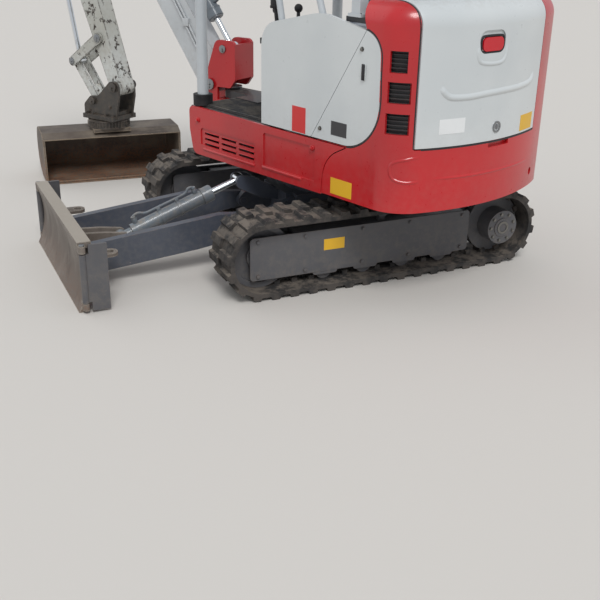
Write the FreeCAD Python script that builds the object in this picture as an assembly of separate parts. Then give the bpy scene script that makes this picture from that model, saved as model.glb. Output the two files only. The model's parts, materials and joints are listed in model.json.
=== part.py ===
import math
import os

import FreeCAD
import Part

V = FreeCAD.Vector
os.makedirs("parts", exist_ok=True)

# Sizes in mm. Machine frame while building: X forwards over the blade, Y left, Z up,
# the slew axis at X 0, Y 0, and the ground at Z 0.

# pose in the picture
SLEW = -73.0        # house turned to the right
SWING = 15.0        # boom swung to the left of the house
TURN = 144.0        # bucket's mouth, counted from the boom's heading

# tracks
TRACK_W = 230.0
TRACK_Y = 535.0     # centre of each belt, set wide
TRACK_SLIDE = 160.0
SLIDE_PLAY = 0.3    # between each cross tube and the tube that slides in it
WHEEL_X = 601.0
TRACK_Z = 178.0
BELT_OUT = 162.0
BELT_IN = 144.0
LUG_H = 16.0
LUG_COUNT = 40

# blade
BLADE_X = 1361.0
BLADE_HW = 470.0
BLADE_H = 304.0
ARM_PIVOT = (400.0, 200.0)
BARREL_EYE = (1055.0, 140.0)
ROD_EYE = (475.0, 355.0)
WING_X = 1332.0
WING_Y = BLADE_HW + 14.3
WING_L = 100.0

# lashing eyes with upright bores: two behind the blade, one at the back of the car body
LASH_R = 18.0
ARM_IN, ARM_OUT = 176.0, 216.0        # faces of the blade's arms
LASH_BLADE = (BLADE_X - 176, (ARM_OUT + BLADE_HW) / 2 - 23)
LASH_REAR = (-300.0, 0.0)

# house
HOUSE_HW = 490.0
HOUSE_FRONT = 480.0
TAIL_R = 1000.0
CORNER_R = 160.0
DECK_Z = (430.0, 470.0)
FLOOR_Z = (625.0, 660.0)
PANEL_Z = 663.0     # lower edge of the side panels
CW_TOP = 690.0
HOOD_TOP = 1235.0
HOOD_HW = HOUSE_HW - 78     # left edge of the rear hood, from the middle
HOOD_RIGHT = HOUSE_HW - 210     # and its right edge
HINGE_Y = (60 - HOOD_RIGHT, HOOD_HW - 192)
HOOD_FRONT = 298.0 - TAIL_R
HOOD_HINGE = (310.0 - TAIL_R, HOOD_TOP - 9)
SKIN = 16.0         # thickness of the rear covers
ROUND_R = 88.0      # rounding of their top edge
SEAM = ((597.0 - TAIL_R, 668.0), (322.0 - TAIL_R, 1090.0))     # slanted seam of the side door
LAMP = (5.4, 1078.0)                            # rear lamp: degrees round the tail, height
LOCK = (31.0, 748.0)
ROOF_Z = 2320.0
POST_Y = HOUSE_HW - 50
REAR_POST = 391.0 - TAIL_R
BOX_HW = HOUSE_HW - 190     # half width of the seat box
REST_Y = HOUSE_HW - 140     # middle of each armrest
SEAT_X = 480.0 - TAIL_R     # back of the seat
SEAT_HW = HOUSE_HW - 275
KING_X = 750.0

# front linkage at rest, in the boom's own plane: distance ahead of the swing axis, height
FOOT = (100.0, 665.0)
KING_EYE = (15.0, 854.0)
KNEE = (625.0, 1456.0)
BOOM_TIP = (1216.0, 1749.0)
BOOM_EAR_AT = (700.0, 155.0)     # along and above the line from foot to knee
ARM_EAR_AT = (916.0, 216.0)
ARM_LEVER = (1354.0, 1946.0)
ARM_END = (830.0, 560.0)
HITCH_PIN = (1002.0, 464.0)
LINK_PIVOT = (939.0, 828.0)
LINK_TOP = (1158.0, 679.0)
BUCKET_CYL = (1338.0, 1632.0)
SWING_BASE = (115.0, -280.0)
SWING_Z = 575.0
SWING_ARM = (130.0, -100.0)
ROTOR_X = 955.0
ROTOR_Z = (318.0, 362.0)
BUCKET_HW = 410.0
FIT = 0.05          # radial clearance of a pin in its bore


def box(x0, x1, y0, y1, z0, z1):
    return Part.makeBox(x1 - x0, y1 - y0, z1 - z0, V(x0, y0, z0))


def rod(p, q, r):
    a = V(*p)
    d = V(*q) - a
    return Part.makeCylinder(r, d.Length, a, d)


def tube(p, q, r, bore):
    return rod(p, q, r).cut(rod(p, q, bore))


def fuse(*shapes):
    s = shapes[0]
    for t in shapes[1:]:
        s = s.fuse(t)
    return s.removeSplitter()


def group(*shapes):
    return Part.makeCompound(list(shapes))


# Closed wire in the XY plane from (x, y, corner radius)
def outline(points):
    n = len(points)
    ends = []
    for i in range(n):
        p = V(points[i][0], points[i][1], 0)
        r = points[i][2] if len(points[i]) > 2 else 0
        if not r:
            ends.append((p, None, p))
            continue
        a = (V(points[i - 1][0], points[i - 1][1], 0) - p).normalize()
        b = (V(points[(i + 1) % n][0], points[(i + 1) % n][1], 0) - p).normalize()
        half = a.getAngle(b) / 2
        t = r / math.tan(half)
        mid = (a + b).normalize() * (r / math.sin(half) - r)
        ends.append((p + a * t, p + mid, p + b * t))
    edges = []
    for i in range(n):
        first, mid, last = ends[i]
        if mid is not None:
            edges.append(Part.Arc(first, mid, last).toShape())
        nxt = ends[(i + 1) % n][0]
        if (nxt - last).Length > 1e-6:
            edges.append(Part.makeLine(last, nxt))
    return Part.Wire(edges)


# Prism over a plan outline
def plan(points, z0, z1):
    s = Part.Face(outline(points)).extrude(V(0, 0, z1 - z0))
    s.translate(V(0, 0, z0))
    return s


# Prism over a side outline given as (x, z, corner radius), from y0 to y1
def side(points, y0, y1):
    s = Part.Face(outline(points)).extrude(V(0, 0, y1 - y0))
    s.rotate(V(0, 0, 0), V(1, 0, 0), 90)
    s.translate(V(0, y1, 0))
    return s


# The shape and its mirror image across the middle plane
def both(shape):
    return [shape, shape.mirror(V(0, 0, 0), V(0, 1, 0))]


def pin(p, r, y0, y1):
    return rod((p[0], y0, p[1]), (p[0], y1, p[1]), r)


# Flat bar with round ends of radius r0 at p and r1 at q
def bar(p, q, r0, r1, y0, y1):
    d = math.hypot(q[0] - p[0], q[1] - p[1])
    a = math.atan2(q[1] - p[1], q[0] - p[0])
    k = math.acos((r0 - r1) / d)
    pts = []
    for c, r, s in ((p, r0, 1), (p, r0, -1), (q, r1, -1), (q, r1, 1)):
        pts.append((c[0] + r * math.cos(a + s * k), c[1] + r * math.sin(a + s * k)))
    body = side([pt + (0,) for pt in pts], y0, y1)
    return fuse(body, pin(p, r0, y0, y1), pin(q, r1, y0, y1))


# Cylinder barrel with its eye at base, pointing at end, in a plane of constant y
def barrel(base, end, r, bore, y, length, eye_r, pin_r, eye_hw, neck=26):
    d = math.hypot(end[0] - base[0], end[1] - base[1])
    u = ((end[0] - base[0]) / d, (end[1] - base[1]) / d)
    at = lambda s: (base[0] + u[0] * s, y, base[1] + u[1] * s)
    body = fuse(rod(at(0), at(eye_r + neck + 2), eye_hw - 3), rod(at(eye_r + neck), at(length), r))
    head = rod(at(length - 34), at(length + 12), r + 5)
    whole = fuse(body, head, pin(base, eye_r, y - eye_hw, y + eye_hw))
    whole = whole.cut(rod(at(eye_r + neck + 10), at(length + 40), bore))
    return whole.cut(pin(base, pin_r + FIT, y - eye_hw - 5, y + eye_hw + 5))


# Rod from start (distance from the barrel's base) to its eye at end
def piston(base, end, r, y, start, eye_r, pin_r, eye_hw):
    d = math.hypot(end[0] - base[0], end[1] - base[1])
    u = ((end[0] - base[0]) / d, (end[1] - base[1]) / d)
    at = lambda s: (base[0] + u[0] * s, y, base[1] + u[1] * s)
    whole = fuse(rod(at(start), at(d), r), pin(end, eye_r, y - eye_hw, y + eye_hw))
    return whole.cut(pin(end, pin_r, y - eye_hw - 5, y + eye_hw + 5))


under = {}
house = {}
front = {}
tool = {}

# car body: the X frame between the tracks with its cross tubes, ring and lugs
cross = [box(x - 42, x + 42, -250, 250, 150, 234) for x in (-190, 190)]
bores = [box(x - 34, x + 34, -251, 251, 158, 226) for x in (-190, 190)]
shell = box(-255, 255, -185, 185, 128, 300).cut(box(-243, 243, -173, 173, 140, 288))
body = fuse(shell, *cross)
for b in bores:
    body = body.cut(b)
ring = tube((0, 0, 298), (0, 0, 402), 235, 120)
lugs = []
for y in (-170, 135):
    lugs.append(side([(250, 290, 0), (250, 140, 0), (400, 160, 38), (438, 200, 30), (400, 240, 20)], y, y + 35))
nose = box(250, 290, -135, 135, 240, 300)
clevis = [side([(285, 244, 0), (380, 264, 60), (ROD_EYE[0] + 28, ROD_EYE[1] - 28, 27), (ROD_EYE[0] + 28, ROD_EYE[1] + 28, 27),
                (ROD_EYE[0] - 45, ROD_EYE[1] + 20, 50), (300, 300, 0), (285, 300, 0)], y, y + 16) for y in (-45, 29)]
pivots = [pin(ARM_PIVOT, 18, 130, 222), pin(ARM_PIVOT, 18, -222, -130)]
heads = [pin(ARM_PIVOT, 28, 221, 229), pin(ARM_PIVOT, 28, -229, -221)]
rear_eye = fuse(box(LASH_REAR[0], -250, -60, 60, 200, 220), rod((LASH_REAR[0], 0, 200), (LASH_REAR[0], 0, 220), 60))
rear_eye = rear_eye.cut(rod((LASH_REAR[0], 0, 190), (LASH_REAR[0], 0, 230), LASH_R))
under["car_body"] = fuse(body, ring, rear_eye, nose, *lugs, *clevis, *pivots, *heads)


# Track loop with its lugs, as (x, z) points walked once around
def belt_outline(count):
    run = 2 * WHEEL_X
    arc = math.pi * (BELT_OUT + LUG_H)
    total = 2 * run + 2 * arc

    def at(s, r):
        s = s % total
        if s < run:
            return (-WHEEL_X + s, TRACK_Z + r)
        s -= run
        if s < arc:
            a = math.pi / 2 - s / arc * math.pi
            return (WHEEL_X + r * math.cos(a), TRACK_Z + r * math.sin(a))
        s -= arc
        if s < run:
            return (WHEEL_X - s, TRACK_Z - r)
        s -= run
        a = -math.pi / 2 - s / arc * math.pi
        return (-WHEEL_X + r * math.cos(a), TRACK_Z + r * math.sin(a))

    pitch = total / count
    return at, pitch


# Rubber track: a plain band with two staggered rows of lugs
def belt(y0):
    at, pitch = belt_outline(LUG_COUNT)
    band_out = side([(-WHEEL_X - BELT_OUT, TRACK_Z - BELT_OUT, BELT_OUT - 0.01),
                     (WHEEL_X + BELT_OUT, TRACK_Z - BELT_OUT, BELT_OUT - 0.01),
                     (WHEEL_X + BELT_OUT, TRACK_Z + BELT_OUT, BELT_OUT - 0.01),
                     (-WHEEL_X - BELT_OUT, TRACK_Z + BELT_OUT, BELT_OUT - 0.01)], y0, y0 + TRACK_W)
    band_in = side([(-WHEEL_X - BELT_IN, TRACK_Z - BELT_IN, BELT_IN - 0.01),
                    (WHEEL_X + BELT_IN, TRACK_Z - BELT_IN, BELT_IN - 0.01),
                    (WHEEL_X + BELT_IN, TRACK_Z + BELT_IN, BELT_IN - 0.01),
                    (-WHEEL_X - BELT_IN, TRACK_Z + BELT_IN, BELT_IN - 0.01)], y0 - 1, y0 + TRACK_W + 1)
    lugs = []
    for i in range(LUG_COUNT):
        for phase, ya, yb in ((0.0, 0.0, 108.0), (0.5, 122.0, 230.0)):
            s = (i + phase) * pitch
            foot_a, foot_b = at(s - 24, BELT_OUT - 3), at(s + 24, BELT_OUT - 3)
            top_a, top_b = at(s - 17, BELT_OUT + LUG_H), at(s + 17, BELT_OUT + LUG_H)
            lugs.append(side([foot_a, foot_b, top_b, top_a], y0 + ya, y0 + yb))
    return band_out.multiFuse(lugs).cut(band_in)


# each track: belt, side frame with its sliding tubes, idler, rollers, drive
def track(sign):
    c = TRACK_Y
    beam = box(-430, 430, c - 52, c + 52, 118, 258).cut(box(-420, 420, c - 44, c + 44, 126, 250))
    play = SLIDE_PLAY
    tubes = [box(x - 34 + play, x + 34 - play, 170, c - 50, 158 + play, 226 - play) for x in (-190, 190)]
    forks = [side([(425, 152, 0), (WHEEL_X + 30, 152, 20), (WHEEL_X + 30, 204, 20), (425, 204, 0)], c + y, c + y + 12)
             for y in (-52, 40)]
    guards = []
    for x in (-300, -100, 100, 300):
        for y in (-58, 48):
            guards.append(side([(x - 55, 62, 12), (x + 55, 62, 12), (x + 80, 120, 0), (x - 80, 120, 0)], c + y, c + y + 10))
    covers = [side([(-440, 76, 16), (655, 76, 16), (655, 268, 16), (-440, 268, 16)], c + y, c + y + 9)
              for y in (-60, 51)]
    plate = fuse(box(-WHEEL_X, -430, c - 58, c - 44, 110, 246), pin((-WHEEL_X, TRACK_Z), 84, c - 58, c - 44))
    rear = side([(-425, 118, 0), (-425, 258, 0), (-500, 258, 0), (-500, 118, 0)], c - 52, c - 44)
    frame = fuse(beam, plate, rear, *forks, *guards, *covers, *tubes)
    wheel = rod((WHEEL_X, c - 36, TRACK_Z), (WHEEL_X, c + 36, TRACK_Z), BELT_IN - 1)
    rims = [tube((WHEEL_X, c + a, TRACK_Z), (WHEEL_X, c + b, TRACK_Z), 118, 60) for a, b in ((-37, -22), (22, 37))]
    idler = wheel.cut(rims[0]).cut(rims[1])
    idler = fuse(idler, rod((WHEEL_X, c - 40, TRACK_Z), (WHEEL_X, c + 40, TRACK_Z), 26))
    rollers = []
    for x in (-300, -100, 100, 300):
        z = TRACK_Z - BELT_IN + 41
        core = rod((x, c - 48, z), (x, c + 48, z), 16)
        rollers.append(fuse(core, rod((x, c - 42, z), (x, c - 12, z), 40), rod((x, c + 12, z), (x, c + 42, z), 40)))
    rollers.append(fuse(rod((0, c - 20, 298), (0, c + 20, 298), 23), box(-14, 14, c - 12, c + 12, 258, 290)))
    hub = rod((-WHEEL_X, c - 44, TRACK_Z), (-WHEEL_X, c + 104, TRACK_Z), 80)
    sprocket = rod((-WHEEL_X, c - 18, TRACK_Z), (-WHEEL_X, c + 18, TRACK_Z), BELT_IN - 6)
    motor = rod((-WHEEL_X, c - 108, TRACK_Z), (-WHEEL_X, c - 58, TRACK_Z), 62)
    boss = rod((-WHEEL_X, c + 100, TRACK_Z), (-WHEEL_X, c + 108, TRACK_Z), 44)
    drive = fuse(hub, sprocket, boss)
    parts = {"belt": belt(c - TRACK_W / 2), "track_frame": fuse(frame, motor), "idler": idler,
             "rollers": group(*rollers), "track_drive": drive}
    name = "left" if sign > 0 else "right"
    for key, shape in parts.items():
        if sign < 0:
            shape = shape.mirror(V(0, 0, 0), V(0, 1, 0))
        under[key + "_" + name] = shape


track(1)
track(-1)

# blade with its arms
front_mid, back_mid = (BLADE_X - 40, BLADE_H / 2), (BLADE_X - 53, BLADE_H / 2)


# Prism over a side outline of lines and three-point arcs: (x, z) or (x, z, via)
def profile(points, y0, y1):
    edges = []
    n = len(points)
    for i in range(n):
        a, b = points[i], points[(i + 1) % n]
        pa, pb = V(a[0], 0, a[1]), V(b[0], 0, b[1])
        if len(a) > 2:
            edges.append(Part.Arc(pa, V(a[2][0], 0, a[2][1]), pb).toShape())
        else:
            edges.append(Part.makeLine(pa, pb))
    s = Part.Face(Part.Wire(edges)).extrude(V(0, y1 - y0, 0))
    s.translate(V(0, y0, 0))
    return s


board = profile([(BLADE_X, 0, front_mid), (BLADE_X - 12, BLADE_H - 12), (BLADE_X - 14, BLADE_H),
                 (BLADE_X - 70, BLADE_H), (BLADE_X - 70, BLADE_H - 26), (BLADE_X - 30, BLADE_H - 26, back_mid),
                 (BLADE_X - 16, 0)], -BLADE_HW, BLADE_HW)
box_rail = box(BLADE_X - 118, BLADE_X - 47, 40 - BLADE_HW, BLADE_HW - 40, 96, 196)
ribs = [side([(BLADE_X - 60, 24, 0), (BLADE_X - 22, 24, 0), (BLADE_X - 46, 150, 0), (BLADE_X - 36, BLADE_H - 20, 0),
              (BLADE_X - 68, BLADE_H - 20, 0), (BLADE_X - 112, 190, 0), (BLADE_X - 112, 100, 0)], y, y + 12)
        for y in (28 - BLADE_HW, -262, 250, BLADE_HW - 40)]
knuckles = []
for z0, z1 in ((14, 44), (BLADE_H - 42, BLADE_H - 12)):
    knuckles.append(fuse(rod((WING_X, WING_Y, z0), (WING_X, WING_Y, z1), 14),
                         box(WING_X - 14, WING_X + 14, WING_Y - 40, WING_Y, z0, z1)))
base_lugs = [side([(BLADE_X - 117, 104, 0), (BLADE_X - 117, 192, 0), (BARREL_EYE[0] + 80, 184, 60),
                   (BARREL_EYE[0] - 28, 168, 26), (BARREL_EYE[0] - 28, 112, 26), (BARREL_EYE[0] + 60, 104, 40)],
                  y, y + 16) for y in (-46, 30)]
base_pin = pin(BARREL_EYE, 15, -50, 50)
tie = box(BLADE_X - 190, BLADE_X - 110, -ARM_IN, ARM_IN, 98, 112)
eye_plate = box(BLADE_X - 176, BLADE_X - 100, LASH_BLADE[1] - 34, LASH_BLADE[1] + 34, 180, 196)
eye_plate = fuse(eye_plate, rod((LASH_BLADE[0], LASH_BLADE[1], 180), (LASH_BLADE[0], LASH_BLADE[1], 196), 34))
eye_plate = eye_plate.cut(rod((LASH_BLADE[0], LASH_BLADE[1], 170), (LASH_BLADE[0], LASH_BLADE[1], 210), LASH_R))
under["blade"] = fuse(board, box_rail, base_pin, tie, *both(eye_plate), *base_lugs, *ribs,
                      *[k for knuckle in knuckles for k in both(knuckle)])
arm = side([(ARM_PIVOT[0] - 34, 166, 33), (ARM_PIVOT[0] - 34, 234, 33), (640, 262, 60), (BLADE_X - 118, 196, 0),
            (BLADE_X - 118, 62, 0), (760, 110, 80)], ARM_IN, ARM_OUT)
arm = arm.cut(pin(ARM_PIVOT, 18 + FIT, 100, 300))
under["blade_arms"] = group(*both(arm))

# wings on the blade's ends, folded back at rest
wing = fuse(box(WING_X - WING_L, WING_X, WING_Y - 6, WING_Y + 6, 10, BLADE_H - 8),
            rod((WING_X, WING_Y, 49), (WING_X, WING_Y, BLADE_H - 47), 14))
for z0, z1 in ((0, 49), (BLADE_H - 47, BLADE_H + 6)):
    wing = wing.cut(box(WING_X - 24, WING_X + 30, WING_Y - 30, WING_Y + 30, z0, z1))
under["wing_left"] = wing
under["wing_right"] = wing.mirror(V(0, 0, 0), V(0, 1, 0))

under["blade_barrel"] = barrel(BARREL_EYE, ROD_EYE, 34, 17, 0, 455, 28, 15, 24)
under["blade_rod"] = piston(BARREL_EYE, ROD_EYE, 16, 0, 330, 26, 13, 24)


# house: plan of the tail
# House plan as a wire: straight sides, rounded corners and a round tail about the slew axis
def tail(r, hw, x_front, corner=CORNER_R):
    yc = hw - corner
    xc = -math.sqrt((r - corner) ** 2 - yc ** 2)
    a = math.atan2(yc, xc)
    ca, cb = math.pi / 2, a
    mid = (ca + cb) / 2
    p1 = V(xc, hw, 0)
    pm = V(xc + corner * math.cos(mid), yc + corner * math.sin(mid), 0)
    p2 = V(r * math.cos(a), r * math.sin(a), 0)
    q = lambda v: V(v.x, -v.y, 0)
    edges = [Part.makeLine(V(x_front, hw, 0), p1), Part.Arc(p1, pm, p2).toShape(),
             Part.Arc(p2, V(-r, 0, 0), q(p2)).toShape(), Part.Arc(q(p2), q(pm), q(p1)).toShape(),
             Part.makeLine(q(p1), V(x_front, -hw, 0)), Part.makeLine(V(x_front, -hw, 0), V(x_front, hw, 0))]
    return Part.Wire(edges)


def tail_solid(r, hw, x_front, z0, z1, corner=CORNER_R):
    s = Part.Face(tail(r, hw, x_front, corner)).extrude(V(0, 0, z1 - z0))
    s.translate(V(0, 0, z0))
    return s


# deck: turntable plate, swing lugs at the front, floor stands
deck = tail_solid(TAIL_R - 40, HOUSE_HW - 22, 460, DECK_Z[0], DECK_Z[1])
race = tube((0, 0, 407), (0, 0, 432), 215, 120)
mast = plan([(440, 78, 0), (440, -78, 0), (560, -78, 10), (560, 78, 10)], 440, 620)
lug_up = fuse(plan([(440, 75, 0), (440, -75, 0), (KING_X, -52, 0), (KING_X, 52, 0)], 598, 640),
              rod((KING_X, 0, 598), (KING_X, 0, 640), 52))
lug_low = fuse(plan([(400, 75, 0), (400, -75, 0), (KING_X, -52, 0), (KING_X, 52, 0)], 400, 442),
               rod((KING_X, 0, 400), (KING_X, 0, 442), 52))
king_pin = rod((KING_X, 0, 395), (KING_X, 0, 648), 27)
stands = [box(x, x + 12, 310, HOUSE_HW - 50, DECK_Z[1], FLOOR_Z[0]) for x in (60, 400)]
stands += [box(x, x + 12, 50 - HOUSE_HW, -310, DECK_Z[1], FLOOR_Z[0]) for x in (60, 400)]
stands += [box(x, x + 20, y, y + 62, DECK_Z[1], PANEL_Z - 0.3) for x in (610 - TAIL_R, -120)
           for y in (28 - HOUSE_HW, HOUSE_HW - 90)]
swing_seat = box(SWING_BASE[0] - 45, SWING_BASE[0] + 45, SWING_BASE[1] - 45, SWING_BASE[1] + 45, DECK_Z[1], SWING_Z - 35)
swing_stud = rod((SWING_BASE[0], SWING_BASE[1], SWING_Z - 45), (SWING_BASE[0], SWING_BASE[1], SWING_Z + 29), 15)
house["deck"] = fuse(deck, race, mast, lug_up, lug_low, king_pin, swing_seat, swing_stud, *stands)

# floor: plate with its front toe edge
floor = fuse(box(-60, HOUSE_FRONT, -HOUSE_HW + 14.3, HOUSE_HW - 14.3, FLOOR_Z[0], FLOOR_Z[1] - 8),
             box(-295, -60, -310, 310, FLOOR_Z[0], FLOOR_Z[1] - 8),
             box(-40, HOUSE_FRONT - 30, -HOUSE_HW + 40, HOUSE_HW - 40, FLOOR_Z[1] - 8, FLOOR_Z[1]))
house["floor"] = floor.cut(box(436, 700, -84, 84, 590, 648))

# side outlines shared by the panels, skirts and rear covers: x, z, corner radius
PANEL = [(-73, PANEL_Z, 0), (-73, 1085, 105), (550 - TAIL_R, 1166, 300), (222 - TAIL_R, 1106, 95), (214 - TAIL_R, PANEL_Z, 190)]
SKIRT = [(533 - TAIL_R, 430, 0), (HOUSE_FRONT - 28, 424, 40), (HOUSE_FRONT, 540, 60), (HOUSE_FRONT, 654, 30),
         (394 - TAIL_R, 654, 0), (520 - TAIL_R, 590, 150)]
GAP = 4.0           # between neighbouring covers
COVER_X = 560 - TAIL_R                          # where the rear covers start


# prism over a side outline grown outwards by the gap
def grown(points, y0, y1):
    s = Part.Face(outline(points).makeOffset2D(GAP)).extrude(V(0, 0, y1 - y0))
    s.rotate(V(0, 0, 0), V(1, 0, 0), 90)
    s.translate(V(0, y1, 0))
    return s


# lower skirts: recessed panel, three rows of louvre slots, stiffeners inside
skirt = side(SKIRT, HOUSE_HW - 14, HOUSE_HW)
skirt = skirt.cut(side([(575 - TAIL_R, 474, 0), (-85, 474, 0), (-85, 622, 14), (575 - TAIL_R, 622, 14)],
                       HOUSE_HW - 6, HOUSE_HW + 1))
skirt = skirt.cut(side([(-30, 466, 0), (390, 480, 0), (390, 560, 20), (-30, 560, 10)], HOUSE_HW - 5, HOUSE_HW + 1))
for z in (486, 512, 538):
    for x in (-14, 118, 250):
        skirt = skirt.cut(side([(x, z - 8, 0), (x + 112, z - 8, 0), (x + 112, z + 6, 0), (x, z + 6, 0)],
                               HOUSE_HW - 30, HOUSE_HW + 1))
ribs = [box(x, x + 12, HOUSE_HW - 24, HOUSE_HW - 13, DECK_Z[1] + 0.3, FLOOR_Z[0] - 0.3)
        for x in (402, -60, 550 - TAIL_R)]
house["skirt_left"] = fuse(skirt, *ribs)
house["skirt_right"] = house["skirt_left"].mirror(V(0, 0, 0), V(0, 1, 0))


# solid with the outer form of the rear covers, drawn in by an inset
def rear_form(inset, z0):
    s = tail_solid(TAIL_R - inset, HOUSE_HW - inset, COVER_X, z0, HOOD_TOP - inset, CORNER_R - inset)
    rim = [e for e in s.Edges if abs(e.CenterOfMass.z - (HOOD_TOP - inset)) < 0.01 and e.CenterOfMass.x < COVER_X - 1]
    return s.makeFillet(ROUND_R - inset, rim)


cover = rear_form(0, CW_TOP).cut(rear_form(SKIN, CW_TOP - 10))

# counterweight: cast round band whose sides run forwards under the panels
weight = tail_solid(TAIL_R, HOUSE_HW, COVER_X, 436, CW_TOP)
weight = weight.cut(box(210 - TAIL_R, 0, 60 - HOUSE_HW, HOUSE_HW - 60, 400, CW_TOP + 80))
weight = weight.cut(tail_solid(TAIL_R - 39.7, HOUSE_HW - 21.7, 460, 400, DECK_Z[1] + 0.3, CORNER_R + 0.3))
for y in (HOUSE_HW - 70, -HOUSE_HW - 10):
    weight = weight.cut(grown(SKIRT, y, y + 80)).cut(grown(PANEL, y, y + 80))
weight = weight.cut(box(-TAIL_R - 100, 18 - TAIL_R, -60, 70, CW_TOP - 22, CW_TOP + 1))
house["counterweight"] = weight.cut(rod((70 - TAIL_R, -300, 500), (-TAIL_R - 10, -325, 500), 17))


# corner cover beside the hood, up to its edge at inner
def corner_cover(inner):
    corner = cover.cut(grown(PANEL, HOUSE_HW - 80, HOUSE_HW + 10))
    corner = corner.common(box(-TAIL_R - 100, COVER_X, inner + GAP, HOUSE_HW + 1, CW_TOP, HOOD_TOP + 1))
    return corner.cut(side([(600 - TAIL_R, 1000, 0), (600 - TAIL_R, 1300, 0), (358 - TAIL_R, 1300, 0),
                            (288 - TAIL_R, 1090, 0)], 0, HOUSE_HW + 110))


# the left corner cover has three square openings
square = box(-60, 60, -52, 52, -40, 40)
openings = []
for z in (788, 906, 1020):
    hole = square.copy()
    hole.rotate(V(0, 0, 0), V(0, 0, 1), -30)
    hole.translate(V(150 - TAIL_R, HOUSE_HW - 20, z))
    openings.append(hole)
house["pillar_left"] = corner_cover(HOOD_HW).cut(openings[0]).cut(openings[1]).cut(openings[2])
house["pillar_right"] = corner_cover(HOOD_RIGHT).mirror(V(0, 0, 0), V(0, 1, 0))

# rear hood: lamp recess under a brow, pressed crease, lock
hood = cover.common(box(-TAIL_R - 100, HOOD_FRONT, -HOOD_RIGHT, HOOD_HW, CW_TOP + 6, HOOD_TOP + 1))
recess = plan([(-38, -66, 30), (-38, 66, 30), (48, 80, 34), (48, -66, 34)], 0, 12)
recess.rotate(V(0, 0, 0), V(0, 1, 0), -90)
recess.translate(V(-TAIL_R + 9, 0, LAMP[1]))
recess.rotate(V(0, 0, 0), V(0, 0, 1), -LAMP[0])
hood = hood.cut(recess)
knuckles = []
for y in HINGE_Y:
    leaf = box(HOOD_FRONT - 18, HOOD_HINGE[0], y - 30, y + 30, HOOD_TOP - 12, HOOD_TOP - 4)
    leaf = fuse(leaf, pin(HOOD_HINGE, 9, y - 30, y + 30))
    knuckles.append(leaf.cut(pin(HOOD_HINGE, 5 + FIT, y - 31, y + 31)))
lock = rod((20 - TAIL_R, LOCK[0], LOCK[1]), (-TAIL_R, LOCK[0], LOCK[1]), 17)
house["hood"] = fuse(hood, lock, *knuckles)
lens = plan([(-26, -56, 22), (-26, 56, 22), (26, 56, 22), (26, -56, 22)], 0, 8.5)
lens.rotate(V(0, 0, 0), V(0, 1, 0), -90)
lens.translate(V(-TAIL_R + 8.7, 0, LAMP[1] - 4))
lens.rotate(V(0, 0, 0), V(0, 0, 1), -LAMP[0])
house["rear_lamp"] = lens

# grey side panel with its round top, and the door behind its slanted seam
seam_d = V(SEAM[1][0] - SEAM[0][0], 0, SEAM[1][1] - SEAM[0][1]).normalize()
seam_a = V(SEAM[0][0], 0, SEAM[0][1]) - seam_d * 30
seam_b = V(SEAM[1][0], 0, SEAM[1][1]) + seam_d * 120
behind = side([(seam_a.x, seam_a.z, 0), (seam_b.x, seam_b.z, 0), (100 - TAIL_R, seam_b.z, 0), (100 - TAIL_R, seam_a.z, 0)],
              HOUSE_HW - 90, HOUSE_HW + 30)
panel = side(PANEL, HOUSE_HW - 14, HOUSE_HW)
door = panel.common(behind.translated(V(-3, 0, 0)))
panel = fuse(panel.cut(behind), side([(-100, PANEL_Z, 0), (-100, 700, 0), (620 - TAIL_R, 700, 0), (620 - TAIL_R, PANEL_Z, 0)],
                                     HOUSE_HW - 60, HOUSE_HW - 13))
latch = side([(298 - TAIL_R, 932, 7), (312 - TAIL_R, 932, 7), (312 - TAIL_R, 997, 7), (298 - TAIL_R, 997, 7)],
             HOUSE_HW - 1, HOUSE_HW + 5)
house["panel_left"] = panel
house["panel_right"] = panel.mirror(V(0, 0, 0), V(0, 1, 0))
house["door_left"] = fuse(door, latch)
house["cover_right"] = door.mirror(V(0, 0, 0), V(0, 1, 0))

# shelf behind the seat carries the hood's hinge and the rear posts
shelf = fuse(box(216 - TAIL_R, 440 - TAIL_R, 26 - HOUSE_HW, HOUSE_HW - 26, 1140, 1160),
             box(HOOD_HINGE[0] - 6, HOOD_HINGE[0] + 6, 32 - HOOD_HW, HOOD_HW - 32, 1150, HOOD_HINGE[1] - 12),
             *[fuse(pin(HOOD_HINGE, 5, y - 61, y + 61), pin(HOOD_HINGE, 9, y + a, y + a + 30),
                    box(HOOD_HINGE[0] - 6, HOOD_HINGE[0] + 6, y + a, y + a + 30, 1200, HOOD_HINGE[1]))
               for y, a in ((HINGE_Y[0], 30.5), (HINGE_Y[1], -60.5))],
             box(226 - TAIL_R, 238 - TAIL_R, 65 - HOUSE_HW, HOUSE_HW - 65, DECK_Z[1], 1145).cut(
                 box(220 - TAIL_R, 244 - TAIL_R, 110 - HOUSE_HW, HOUSE_HW - 110, 520, 1100)))
house["bulkhead"] = shelf
house["engine"] = box(300 - TAIL_R, -296, -270, 270, DECK_Z[1], 940)

# seat box, seat, consoles and posts
house["seat_box"] = fuse(box(-290, -60, -BOX_HW, BOX_HW, FLOOR_Z[1] - 8, 985),
                         box(440 - TAIL_R, -280, -BOX_HW, BOX_HW, 960, 985))
seat = fuse(side([(SEAT_X + x, z, r) for x, z, r in (
                (20, 985, 20), (440, 985, 30), (450, 1070, 45), (120, 1060, 20), (20, 1050, 10))], -SEAT_HW, SEAT_HW),
            side([(SEAT_X + x, z, r) for x, z, r in (
                (20, 1040, 20), (120, 1040, 20), (90, 1400, 40), (0, 1400, 40))], -SEAT_HW, SEAT_HW))
house["seat"] = seat
console = fuse(plan([(300, 110, 25), (300, -110, 25), (400, -110, 35), (400, 110, 35)], FLOOR_Z[1], 800),
               box(250, 420, -250, 250, FLOOR_Z[1], FLOOR_Z[1] + 12))
levers = [rod((330, y, 795), (322, y, 1080), 9) for y in (-70, 70)]
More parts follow.
